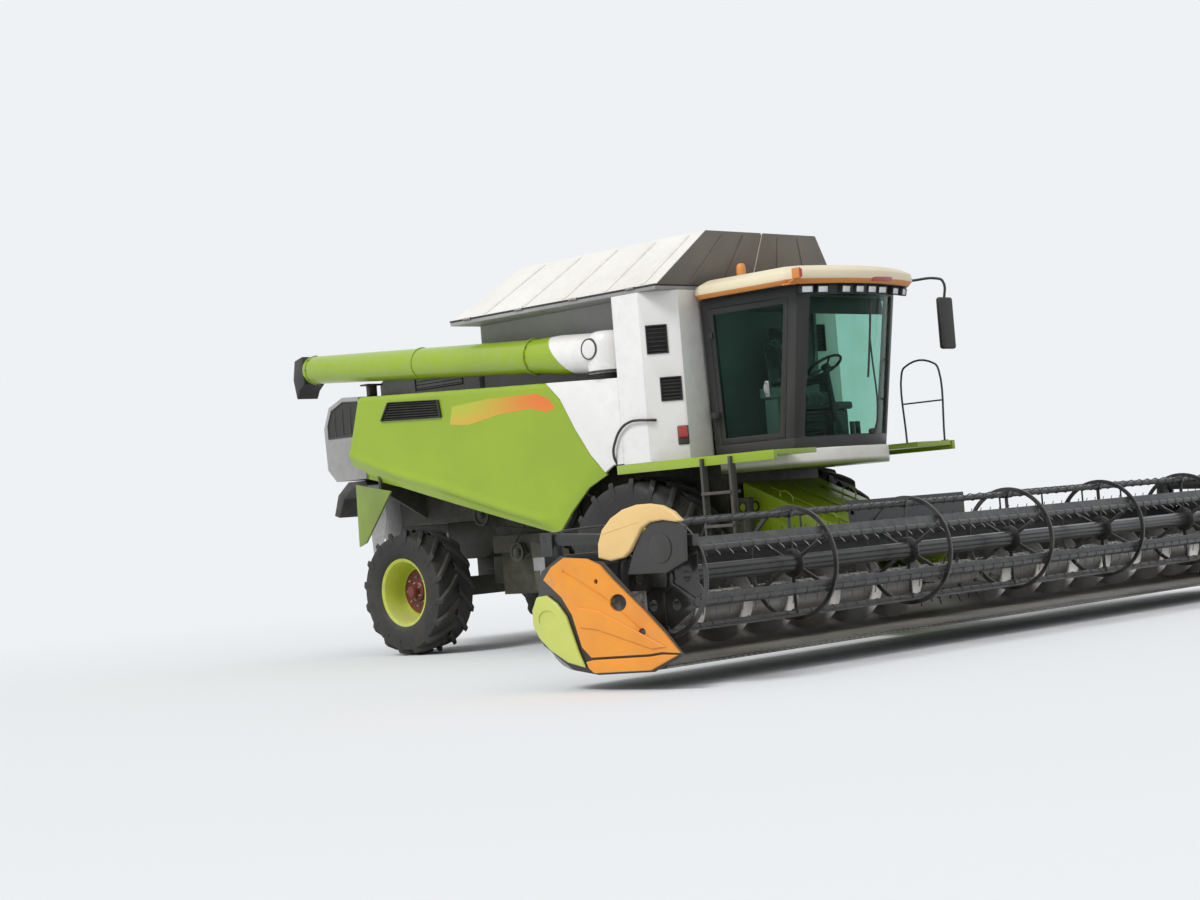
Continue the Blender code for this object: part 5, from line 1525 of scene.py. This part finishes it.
for side in (-1, 1):
    y = -1.12 if side < 0 else 1.34
    side_vents.append(louvre("hood_side_vent", (AXLE - 3.30, y, 3.20), Vector((0, side, 0)), 0.85, 0.26, 6))
fit("engine_hood_side_vents", side_vents, vent_black)

PULLEYS = ((-2.98, 1.56, 0.13), (-1.72, 1.60, 0.30), (-2.42, 1.10, 0.11), (-1.30, 1.02, 0.16))
for tag, side in SIDES:
    y = side * 0.895
    drive = []
    for x, z, r in PULLEYS:
        wheel = spun(
            "pulley",
            [
                (AXLE + x + q, y + side * d, z)
                for q, d in (
                    (0.025, -0.035), (r - 0.02, -0.030), (r, -0.030), (r - 0.012, 0.0), (r, 0.030),
                    (r - 0.02, 0.030), (r - 0.035, 0.008), (0.05, 0.010), (0.045, 0.045), (0.025, 0.045))],
            (AXLE + x, y, z), (0, 1, 0), 36)
        drive.append(wheel)
        drive.append(round_bar(16, 0.026, 0.30, (AXLE + x, side * 0.80, z)))
    fit(f"drive_pulleys_{tag}", drive, frame_paint)
    loop = []
    for (x0, z0, r0), (x1, z1, r1) in (
        (PULLEYS[0], PULLEYS[1]), (PULLEYS[1], PULLEYS[2]), (PULLEYS[1], PULLEYS[3])
    ):
        way = Vector((x1 - x0, 0, z1 - z0))
        across = Vector((way.z, 0, -way.x)).normalized()
        for flip in (-1, 1):
            a = Vector((AXLE + x0, y, z0)) + across * (flip * (r0 - 0.006))
            b = Vector((AXLE + x1, y, z1)) + across * (flip * (r1 - 0.006))
            loop.append(pipe("run", [tuple(a), tuple(b)], 0.011, 4, False))
    fit(f"drive_belts_{tag}", loop, rubber)
    guard = flat_plate(
        "guard", ((-2.12, 1.22), (-1.50, 1.10), (-1.42, 0.62), (-2.06, 0.66)), side * 0.985, side * 0.006)
    arms = [rounded(guard, 0.002, 1, 40)]
    for x in (-1.95, -1.60):
        arms.append(
            bent_bar(
                "stay", [(x, side * 0.80, 1.14), (x, side * 0.96, 1.12), (x, side * 0.985, 1.05)], 0.014, 5)
        )
    fit(f"drive_guard_{tag}", arms, frame_paint)
pan = [axle_bar("pan", (-3.32, -0.48, 0.74), (-2.84, 0.48, 1.06), 0.02, 3)]
for y in (-0.40, 0.40):
    pan.append(axle_bar("hanger", (-3.12, y - 0.02, 1.04), (-3.06, y + 0.02, 1.30), 0.004))
fit("return_pan", pan, frame_paint)
hoses = []
for k, (y, sag) in enumerate(((-0.30, 0.10), (-0.24, 0.13), (0.28, 0.09))):
    hoses.append(
        bent_bar("hose", [(-2.86, y, 1.00), (-3.20, y - 0.02, 1.02 - sag), (-3.62, y, 0.90)], 0.014, 6))
fit("axle_hoses", hoses, rubber_seal, "machine", (), 40)

# Feeder house. A welded green steel channel that hangs under the cab, with rolled edges, stiffening ribs, the
# slats of its chain in the mouth, and bolted side plates that carry the header.
feeder = rounded(merged_copy("feeder_house", "feeder_channel"), 0.010, 3, 30)
settle(feeder, "feeder", green_paint, ["feeder_house"], 30)
FEEDER_TOP = ((0.80, 1.66), (2.30, 1.02), (2.4347, 0.985))
stiffeners = []
for y in (-0.40, 0.0, 0.40):
    rib = drawn(
        "rib",
        [
            (AXLE + 1.00, y - 0.02, 1.578), (AXLE + 2.22, y - 0.02, 1.058), (AXLE + 2.22, y - 0.02, 1.078),
            (AXLE + 1.00, y - 0.02, 1.600)])
    stiffeners.append(rounded(lengthened(rib, (0, 0.04, 0)), 0.006, 2))
for x in (1.30, 1.85):
    z = along(FEEDER_TOP, x)
    for side in (-1, 1):
        handle = bent_bar(
            "handle",
            [
                (x - 0.09, side * 0.52, z + 0.034), (x - 0.085, side * 0.52, z + 0.08),
                (x + 0.075, side * 0.52, z + 0.012), (x + 0.07, side * 0.52, z - 0.03)],
            0.008, 5)
        stiffeners.append(handle)
fit("feeder_ribs", stiffeners, green_paint, "feeder")
slats = []
for i in range(6):
    x = 2.36 - i * 0.20
    for z in (along(((1.10, 1.42), (2.30, 0.93)), x), along(((1.10, 1.06), (2.60, 0.31)), x) + 0.03):
        slats.append(axle_bar("slat", (x - 0.018, -0.54, z - 0.03), (x + 0.018, 0.54, z - 0.015), 0.003))
        slats.append(axle_bar("tooth", (x - 0.006, -0.54, z - 0.035), (x, 0.54, z + 0.006), 0.002))
for y in (-0.45, 0.0, 0.45):
    slats.append(bent_bar("chain", [(1.36, y, 1.29), (2.36, y, 0.885)], 0.013, 5, False))
    slats.append(bent_bar("chain", [(1.36, y, 0.945), (2.36, y, 0.445)], 0.013, 5, False))
fit("feeder_chain", slats, steel_finish, "feeder")
bosses = []
for side in (-1, 1):
    boss = round_bar(32, 0.062, 0.014, (AXLE + 0.95, side * 0.632, 1.40))
    bosses.append(rounded(boss, 0.003, 2, 40))
    plate = drawn(
        "plate",
        [(AXLE + x, side * 0.6205, z) for x, z in ((2.02, 0.62), (2.36, 0.42), (2.36, 0.92), (2.14, 1.00))])
    bosses.append(rounded(lengthened(plate, (0, side * 0.010, 0)), 0.003, 2))
    for x, z in ((2.08, 0.66), (2.31, 0.50), (2.31, 0.87), (2.17, 0.94)):
        head = round_bar(6, 0.014, 0.012, (AXLE + x, side * 0.636, z))
        bosses.append(rounded(head, 0.002, 1, 40))
fit("feeder_side_plates", bosses, frame_paint, "feeder")

# Header. A wide welded table in black paint: back sheet, trough, top beam, adapter frame and a thin back
# rail, braced behind, with skid shoes below and forged guard fingers along its front lip.
LIP = AXLE + 3.72
header_paint = painted(
    "header_paint", (0.012, 0.013, 0.014), (0.022, 0.022, 0.022), under=(0.12, 0.11, 0.10), rough=0.34,
    coat=0.2, dust=0.14, top=1.6, wear=0.18)
polished = painted(
    "polished_sheet", (0.34, 0.34, 0.34), (0.24, 0.235, 0.225), under=(0.16, 0.13, 0.10), rough=0.36,
    metal=0.85, dust=0.3, top=1.4, wear=0.35)
table = rounded(merged_copy("header_frame", "header_table"), 0.005, 2, 30)
settle(table, "feeder", header_paint, ["header_frame"], 30)


def worn_by_crop(face):
    """True for the faces of the trough and of the floor in front of it, which the crop keeps bright."""
    centre = face.center
    inside = math.hypot(centre.x - (AXLE + 2.80), centre.z - 0.53) < 0.3375
    return inside or (centre.z < 0.21 and face.normal.z > 0.9 and centre.x > AXLE + 2.7)


patched(table, polished, worn_by_crop)
back_rail = []
for side in (-1, 1):
    back_rail.append(
        bent_bar(
            "rail",
            [
                (2.400, side * 0.86, 1.14), (2.400, side * 0.86, 1.30), (2.400, side * 0.92, 1.325),
                (2.400, side * 4.80, 1.325), (2.400, side * 4.86, 1.30), (2.400, side * 4.86, 1.14)],
            0.012, 5))
    for k in range(1, 5):
        y = side * (0.86 + k * 0.80)
        back_rail.append(bent_bar("post", [(2.400, y, 1.14), (2.400, y, 1.325)], 0.010, 5, False))
fit("header_back_rail", back_rail, header_paint, "feeder")
braces = []
brace = squared((0.05, 0.012, 0.60), (AXLE + 2.411, 0, 0.72))
rounded(brace, 0.003, 1)
for i in range(9):
    for side in (-1, 1):
        braces.append(placed_copy(brace, Matrix.Translation((0, side * (0.82 + i * 0.50), 0))))
bpy.data.objects.remove(brace)
for side in (-1, 1):
    tube = strip(
        "tube", (AXLE + 2.375, side * 0.70 if side > 0 else -5.12, 0.395),
        (AXLE + 2.43, 5.12 if side > 0 else -0.70, 0.455))
    braces.append(rounded(tube, 0.008))
    for y in (1.3, 3.4, 4.7):
        shoe = drawn(
            "shoe",
            [
                (AXLE + x, side * y - 0.11, z)
                for x, z in (
                    (2.55, 0.190), (2.62, 0.150), (2.80, 0.135), (3.30, 0.135), (3.44, 0.158),
                    (3.42, 0.164), (3.29, 0.147), (2.80, 0.147), (2.63, 0.162), (2.57, 0.200))])
        braces.append(rounded(lengthened(shoe, (0, 0.22, 0)), 0.003, 2))
fit("header_braces", braces, header_paint, "feeder")

FINGERS = 130
finger_plan = (
    (0.000, -0.020), (0.030, -0.016), (0.052, -0.011), (0.094, -0.008), (0.118, -0.003), (0.118, 0.003),
    (0.094, 0.008), (0.052, 0.011), (0.030, 0.016), (0.000, 0.020))
finger = lengthened(drawn("finger", [(LIP - 0.035 + x, y, 0.168) for x, y in finger_plan]), (0, 0, 0.022))
for vert in finger.data.vertices:
    along_finger = (vert.co.x - LIP + 0.035) / 0.118
    if vert.co.z < 0.18:
        vert.co.z += 0.012 * max(0, along_finger - 0.3)
rounded(finger, 0.0025, 1, 30)
guards = [
    placed_copy(finger, Matrix.Translation((0, -5.08 + (i + 0.5) * 10.16 / FINGERS, 0)))
    for i in range(FINGERS)]
bpy.data.objects.remove(finger)
fit("guard_fingers", guards, steel_finish, "feeder")

SECTIONS = 133
KNIFE_Z = 0.1962
blade = lengthened(
    drawn(
        "blade",
        [
            (LIP - 0.030, -0.037, KNIFE_Z), (LIP + 0.006, -0.037, KNIFE_Z), (LIP + 0.074, -0.010, KNIFE_Z),
            (LIP + 0.086, 0.0, KNIFE_Z), (LIP + 0.074, 0.010, KNIFE_Z), (LIP + 0.006, 0.037, KNIFE_Z),
            (LIP - 0.030, 0.037, KNIFE_Z)]),
    (0, 0, 0.0030))
rounded(blade, 0.0012, 1, 50)
for y in (-0.02, 0.02):
    rivet = round_bar(10, 0.006, 0.003, (LIP - 0.016, y, 0.2005), UPRIGHT)
    blade = joined("blade", [blade, rivet])
blades = [
    placed_copy(blade, Matrix.Translation((0, -5.085 + (i + 0.5) * 10.17 / SECTIONS, 0)))
    for i in range(SECTIONS)]
bpy.data.objects.remove(blade)
blades.append(
    rounded(strip("back", (LIP - 0.055, -5.085, 0.1958), (LIP - 0.028, 5.085, 0.2026)), 0.0015, 1))
fit("knife_sections", blades, polished, "knife", ["knife"])

# Table auger. A bright steel tube with two helical flights that carry the crop to the middle, where
# rows of retracting fingers feed it into the feeder house.
AUGER_X, AUGER_Z = AXLE + 2.80, 0.53
barrel = spun(
    "auger_barrel",
    [
        (AUGER_X + r, y, AUGER_Z)
        for y, r in (
            (-5.148, 0.02), (-5.148, 0.165), (-5.138, 0.170), (5.138, 0.170), (5.148, 0.165), (5.148, 0.02))
    ],
    (AUGER_X, 0, AUGER_Z), (0, 1, 0), 48)
windings = [barrel]
for hand, start in ((1, -5.10), (-1, 5.10)):
    turns = 4.48 / 0.62
    steps = 30
    count = int(turns * steps)
    clear()
    bpy.ops.mesh.primitive_grid_add(x_subdivisions=count, y_subdivisions=2, size=2)
    vane = bpy.context.object
    vane.name = "flight"
    for vert in vane.data.vertices:
        share = (vert.co.x + 1) / 2
        r = 0.166 if vert.co.y < -0.5 else (0.294 if vert.co.y > 0.5 else 0.235)
        angle = hand * 2 * math.pi * turns * share
        vert.co = (
            AUGER_X + r * math.cos(angle), start + hand * 4.48 * share, AUGER_Z + r * math.sin(angle))
    thick = vane.modifiers.new("sheet", "SOLIDIFY")
    thick.thickness = 0.006
    thick.offset = 0
    apply(vane, "sheet")
    windings.append(vane)
fit("auger_windings", windings, polished, "auger", ["table_auger"], 40)
rods = []
for i in range(18):
    y = -0.56 + i * 1.12 / 17
    for k in range(2):
        angle = i * 2.4 + k * math.pi
        c, n = math.cos(angle), math.sin(angle)
        reach = 0.235 + 0.055 * c
        rods.append(
            pipe(
                "rod",
                [
                    (AUGER_X + 0.16 * c, y, AUGER_Z + 0.16 * n),
                    (AUGER_X + reach * c, y, AUGER_Z + reach * n)],
                0.0075, 5, False))
        guide = round_bar(12, 0.022, 0.014, (0, 0, 0.172), UPRIGHT)
        guide.data.transform(
            Matrix.Translation((AUGER_X, y, AUGER_Z)) @ Matrix.Rotation(math.pi / 2 - angle, 4, "Y"))
        rods.append(guide)
fit("auger_fingers", rods, header_paint, "auger")

# Header ends. Moulded covers on a steel plate: a bulged light green cover behind, an orange crop divider in
# front with its dished holes and a swept ridge, and a folded skirt below.
lime_moulding = painted(
    "lime_moulding", (0.56, 0.62, 0.12), (0.48, 0.55, 0.12), under=(0.3, 0.3, 0.26), rough=0.38, coat=0.2,
    dust=0.25, top=1.3)
orange_moulding = painted(
    "orange_moulding", (0.84, 0.31, 0.012), (0.72, 0.24, 0.02), under=(0.4, 0.25, 0.12), rough=0.36,
    coat=0.25, dust=0.10, top=1.2)
hole_black = painted(
    "hole_black", (0.012, 0.010, 0.009), (0.02, 0.018, 0.016), rough=0.8, dust=0.1, top=1.0)
END_FACE = 5.158
END_PLATE = (
    (2.40, 0.80), (2.31, 0.60), (2.42, 0.38), (2.76, 0.17), (3.05, 0.13), (3.68, 0.15), (4.02, 0.28),
    (3.84, 0.48), (3.20, 1.05), (2.70, 1.12), (2.46, 1.00))
COVER = (
    (2.40, 0.79), (2.335, 0.68), (2.335, 0.55), (2.40, 0.44), (2.52, 0.34), (2.72, 0.235), (2.92, 0.19),
    (2.85, 0.33), (2.80, 0.47), (2.74, 0.62), (2.64, 0.73), (2.52, 0.80))
DIVIDER = (
    (2.50, 0.93), (2.60, 1.03), (2.76, 1.105), (3.02, 1.085), (3.17, 1.03), (3.30, 0.91), (3.62, 0.655),
    (3.84, 0.455), (3.99, 0.300), (3.80, 0.310), (3.66, 0.295), (3.00, 0.275), (2.90, 0.36), (2.86, 0.48),
    (2.81, 0.63), (2.70, 0.78))
SKIRT = (
    (2.96, 0.185), (3.02, 0.145), (3.66, 0.165), (3.97, 0.285), (3.80, 0.290), (3.66, 0.275), (3.02, 0.255),
    (2.93, 0.24))
for tag, side in SIDES:
    plate = flat_plate(f"end_plate_{tag}", END_PLATE, side * 5.1506, side * 0.012)
    settle(rounded(plate, 0.004, 2, 30), "feeder", header_paint, [f"header_end_{tag}"], 30)
    cover = flat_plate(f"header_end_cover_{tag}", COVER, side * END_FACE, side * 0.034)
    rounded(cover, 0.024, 5, 50)
    for vert in cover.data.vertices:
        away = math.hypot((vert.co.x - AXLE - 2.60) / 0.32, (vert.co.z - 0.52) / 0.32)
        if abs(vert.co.y) > 5.175:
            vert.co.y += side * 0.006 * max(0, 1 - away)
    clear()
    bpy.ops.mesh.primitive_uv_sphere_add(
        segments=24, ring_count=12, radius=0.1, location=(AXLE + 2.52, side * 5.190, 0.60))
    dimple = bpy.context.object
    dimple.scale = (1.1, 0.12, 0.8)
    bpy.ops.object.transform_apply(location=True, rotation=True, scale=True)
    trimmed(cover, dimple)
    settle(cover, "feeder", lime_moulding, (), 40)

    shield = flat_plate("divider", DIVIDER, side * END_FACE, side * 0.026)
    for x, z, r, stretch in (
        (3.355, 0.715, 0.070, 1.35), (3.60, 0.475, 0.030, 1.3), (3.12, 0.895, 0.022, 1.0)
    ):
        clear()
        bpy.ops.mesh.primitive_cylinder_add(
            vertices=40, radius=r, depth=0.2, location=(AXLE + x, side * 5.17, z),
            rotation=(math.pi / 2, 0, 0))
        hole = bpy.context.object
        hole.scale = (stretch, 1, 1)
        bpy.ops.object.transform_apply(location=True, rotation=True, scale=True)
        trimmed(shield, hole)
    groove = drawn(
        "groove",
        [
            (AXLE + x, side * 5.176, z)
            for x, z in (
                (2.74, 1.005), (3.22, 0.765), (3.49, 0.585), (3.69, 0.430), (3.675, 0.425), (3.475, 0.573),
                (3.21, 0.750), (2.74, 0.985))])
    trimmed(shield, lengthened(groove, (0, side * 0.05, 0)))
    rounded(shield, 0.010, 4, 40)
    ridge = flat_plate(
        "ridge", ((2.86, 0.70), (3.14, 0.655), (3.86, 0.350), (3.70, 0.335), (3.10, 0.50), (2.90, 0.52)),
        side * 5.174, side * 0.024)
    rounded(ridge, 0.013, 5, 40)
    skirt = flat_plate("skirt", SKIRT, side * END_FACE, side * 0.030)
    rounded(skirt, 0.010, 4, 40)
    fit(f"crop_divider_{tag}", [shield, ridge, skirt], orange_moulding, "feeder", (), 40)
    backing = strip(
        f"divider_backing_{tag}", (AXLE + 3.22, min(side * 5.160, side * 5.165), 0.43),
        (AXLE + 3.66, max(side * 5.160, side * 5.165), 0.80))
    settle(backing, "feeder", hole_black)

# Reel. Two lift arms carry a six-bar pick-up reel: a steel shaft, seven spiders with ringed rims, tube bats
# with flat slats and sprung tines, pierced discs at its ends and a guard over the drive on the right, painted
# cream for its sun fading and as a painted highlight.
reel_black = painted(
    "reel_black", (0.010, 0.011, 0.012), (0.020, 0.020, 0.020), under=(0.14, 0.13, 0.12), rough=0.26,
    coat=0.4, dust=0.08, top=2.0, wear=0.15)
slat_grey = painted(
    "slat_grey", (0.060, 0.064, 0.070), (0.075, 0.075, 0.078), under=(0.25, 0.24, 0.22), rough=0.32,
    metal=0.4, dust=0.10, top=2.0, wear=0.2)
REEL_X, REEL_Z = AXLE + 3.62, 0.89
BAT_R = 0.43


def round_reel(piece):
    """Six copies of a finished shape, one for each of the reel's bats; the shape itself is removed."""
    copies = [placed_copy(piece, about_y(REEL_X, REEL_Z, math.pi * i / 3)) for i in range(6)]
    bpy.data.objects.remove(piece)
    return copies


for tag, side in SIDES:
    arm = rounded(merged_copy(f"reel_arm_{tag}", f"reel_arm_tube_{tag}"), 0.010, 3, 30)
    settle(arm, "reel_arms", header_paint, [f"reel_arm_{tag}"], 30)
    slider = rounded(merged_copy(f"reel_carriage_{tag}", f"reel_slider_{tag}"), 0.004, 2, 30)
    settle(slider, "reel_carriages", header_paint, [f"reel_carriage_{tag}"], 30)

DRIVE_Y = 5.0715
GUARD = (
    (3.105, 1.08), (3.115, 1.20), (3.17, 1.31), (3.28, 1.40), (3.42, 1.462), (3.58, 1.492), (3.72, 1.492),
    (3.86, 1.470), (3.98, 1.415), (4.07, 1.335), (4.00, 1.330), (3.86, 1.352), (3.72, 1.345), (3.62, 1.300),
    (3.55, 1.215), (3.47, 1.120), (3.40, 1.075), (3.24, 1.052))
guard = flat_plate("reel_guard_shell", GUARD, -DRIVE_Y, -0.056)
rounded(guard, 0.018, 5, 60)
seam = drawn(
    "seam",
    [(AXLE + x, -5.1245, z) for x, z in ((3.15, 1.268), (3.60, 1.352), (3.60, 1.345), (3.15, 1.260))])
trimmed(guard, lengthened(seam, (0, -0.02, 0)))
# the guard is orange moulding; its cream colour is partly sun fading and partly a painted highlight
settle(
    guard, "reel_carriages",
    painted(
        "guard_faded_and_highlit", (0.84, 0.58, 0.24), (0.77, 0.52, 0.21), under=(0.5, 0.4, 0.25), rough=0.42,
        coat=0.15, dust=0.2, top=2.2),
    ["reel_drive_guard"], 40)
drive = drawn(
    "drive_case",
    [
        (AXLE + x, -DRIVE_Y, z)
        for x, z in (
            (3.40, 0.93), (3.84, 0.93), (4.06, 1.02), (4.08, 1.30), (3.90, 1.35), (3.70, 1.335),
            (3.60, 1.26), (3.50, 1.13))])
drive = rounded(lengthened(drive, (0, -0.030, 0)), 0.008, 3, 40)
sprocket = round_bar(40, 0.12, 0.044, (AXLE + 3.80, -5.090, 1.13))
fit("reel_drive_case", [drive, rounded(sprocket, 0.006, 2, 40)], header_paint, "reel_carriages")

shaft = spun(
    "shaft",
    [
        (REEL_X + r, y, REEL_Z)
        for y, r in (
            (-4.938, 0.012), (-4.938, 0.070), (-4.930, 0.074), (4.930, 0.074), (4.938, 0.070),
            (4.938, 0.012))],
    (REEL_X, 0, REEL_Z), (0, 1, 0), 32)
web = [shaft]
hoop = [
    (0.462, -0.012), (0.497, -0.012), (0.499, -0.008), (0.499, 0.008), (0.497, 0.012), (0.462, 0.012),
    (0.460, 0.008), (0.460, -0.008)]
ring = spun("ring", [(REEL_X + r, y, REEL_Z) for r, y in hoop], (REEL_X, 0, REEL_Z), (0, 1, 0), 60)
spoke = squared((0.034, 0.016, 0.925), (REEL_X, 0, REEL_Z))
rounded(spoke, 0.004)
flange = round_bar(28, 0.125, 0.020, (REEL_X, 0, REEL_Z))
rounded(flange, 0.004, 2, 40)
clamp = rounded(
    strip(
        "clamp", (REEL_X - 0.038, -0.024, REEL_Z + BAT_R - 0.036),
        (REEL_X + 0.038, 0.024, REEL_Z + BAT_R + 0.034)),
    0.010, 2)
bolt = round_bar(10, 0.007, 0.030, (REEL_X, 0, REEL_Z + 0.098))
for k in range(7):
    y = -4.92 + k * 9.84 / 6
    move = Matrix.Translation((0, y, 0))
    web += [placed_copy(ring, move), placed_copy(flange, move)]
    for i in range(3):
        web.append(placed_copy(spoke, move @ about_y(REEL_X, REEL_Z, math.pi * i / 3)))
    inboard = Matrix.Translation((0, max(-4.91, min(4.91, y)), 0))
    for i in range(6):
        turn = about_y(REEL_X, REEL_Z, math.pi * i / 3)
        web += [placed_copy(clamp, inboard @ turn), placed_copy(bolt, inboard @ turn)]
for part in (ring, spoke, flange, clamp, bolt):
    bpy.data.objects.remove(part)
fit("reel_spiders", web, reel_black, "reel", ["reel"], 34)

tube = round_bar(20, 0.0275, 9.870, (REEL_X, 0, REEL_Z + BAT_R))
slat = lengthened(
    drawn(
        "slat",
        [
            (REEL_X + x, -4.932, REEL_Z + z)
            for x, z in ((0.0, 0.428), (-0.088, 0.448), (-0.089, 0.4555), (0.0, 0.438))]),
    (0, 9.864, 0))
rounded(slat, 0.0015, 1, 40)
bats = round_reel(slat)
bars = round_reel(tube)
fit("reel_slats", bats, slat_grey, "reel")
fit("reel_bars", bars, reel_black, "reel")

tine = pipe(
    "tine",
    [
        (REEL_X + 0.018, 0.010, REEL_Z + BAT_R + 0.006), (REEL_X + 0.040, 0.004, REEL_Z + BAT_R + 0.018),
        (REEL_X + 0.072, 0.0, REEL_Z + BAT_R + 0.034), (REEL_X + 0.098, 0.0, REEL_Z + BAT_R + 0.038)],
    0.0042, 3, False)
clear()
bpy.ops.mesh.primitive_torus_add(
    major_segments=12, minor_segments=4, major_radius=0.030, minor_radius=0.0048,
    location=(REEL_X, 0.0, REEL_Z + BAT_R), rotation=(math.pi / 2, 0, 0))
coil = bpy.context.object
bpy.ops.object.transform_apply(location=True, rotation=True, scale=True)
tine = joined("tine", [tine, coil])
row = tine.modifiers.new("row", "ARRAY")
row.count = 62
row.use_relative_offset = False
row.use_constant_offset = True
row.constant_offset_displace = (0, 9.72 / 61, 0)
apply(tine, "row")
tine.data.transform(Matrix.Translation((0, -4.86, 0)))
tines = round_reel(tine)
fit("reel_tines", tines, slat_grey, "reel", (), 40)

for tag, side in SIDES:
    hexagon = [
        (
            REEL_X + 0.452 * math.sin(math.pi * i / 3), side * 4.905,
            REEL_Z + 0.452 * math.cos(math.pi * i / 3))
        for i in range(6)]
    disc = lengthened(drawn(f"reel_end_disc_{tag}", hexagon), (0, side * 0.006, 0))
    for i in range(6):
        angle = math.pi * i / 3 + math.pi / 6
        hole = round_bar(
            24, 0.045, 0.1, (REEL_X + 0.26 * math.sin(angle), side * 4.905, REEL_Z + 0.26 * math.cos(angle))
        )
        trimmed(disc, hole)
    settle(rounded(disc, 0.002, 2, 30), "reel", reel_black, (), 30)

low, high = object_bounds()
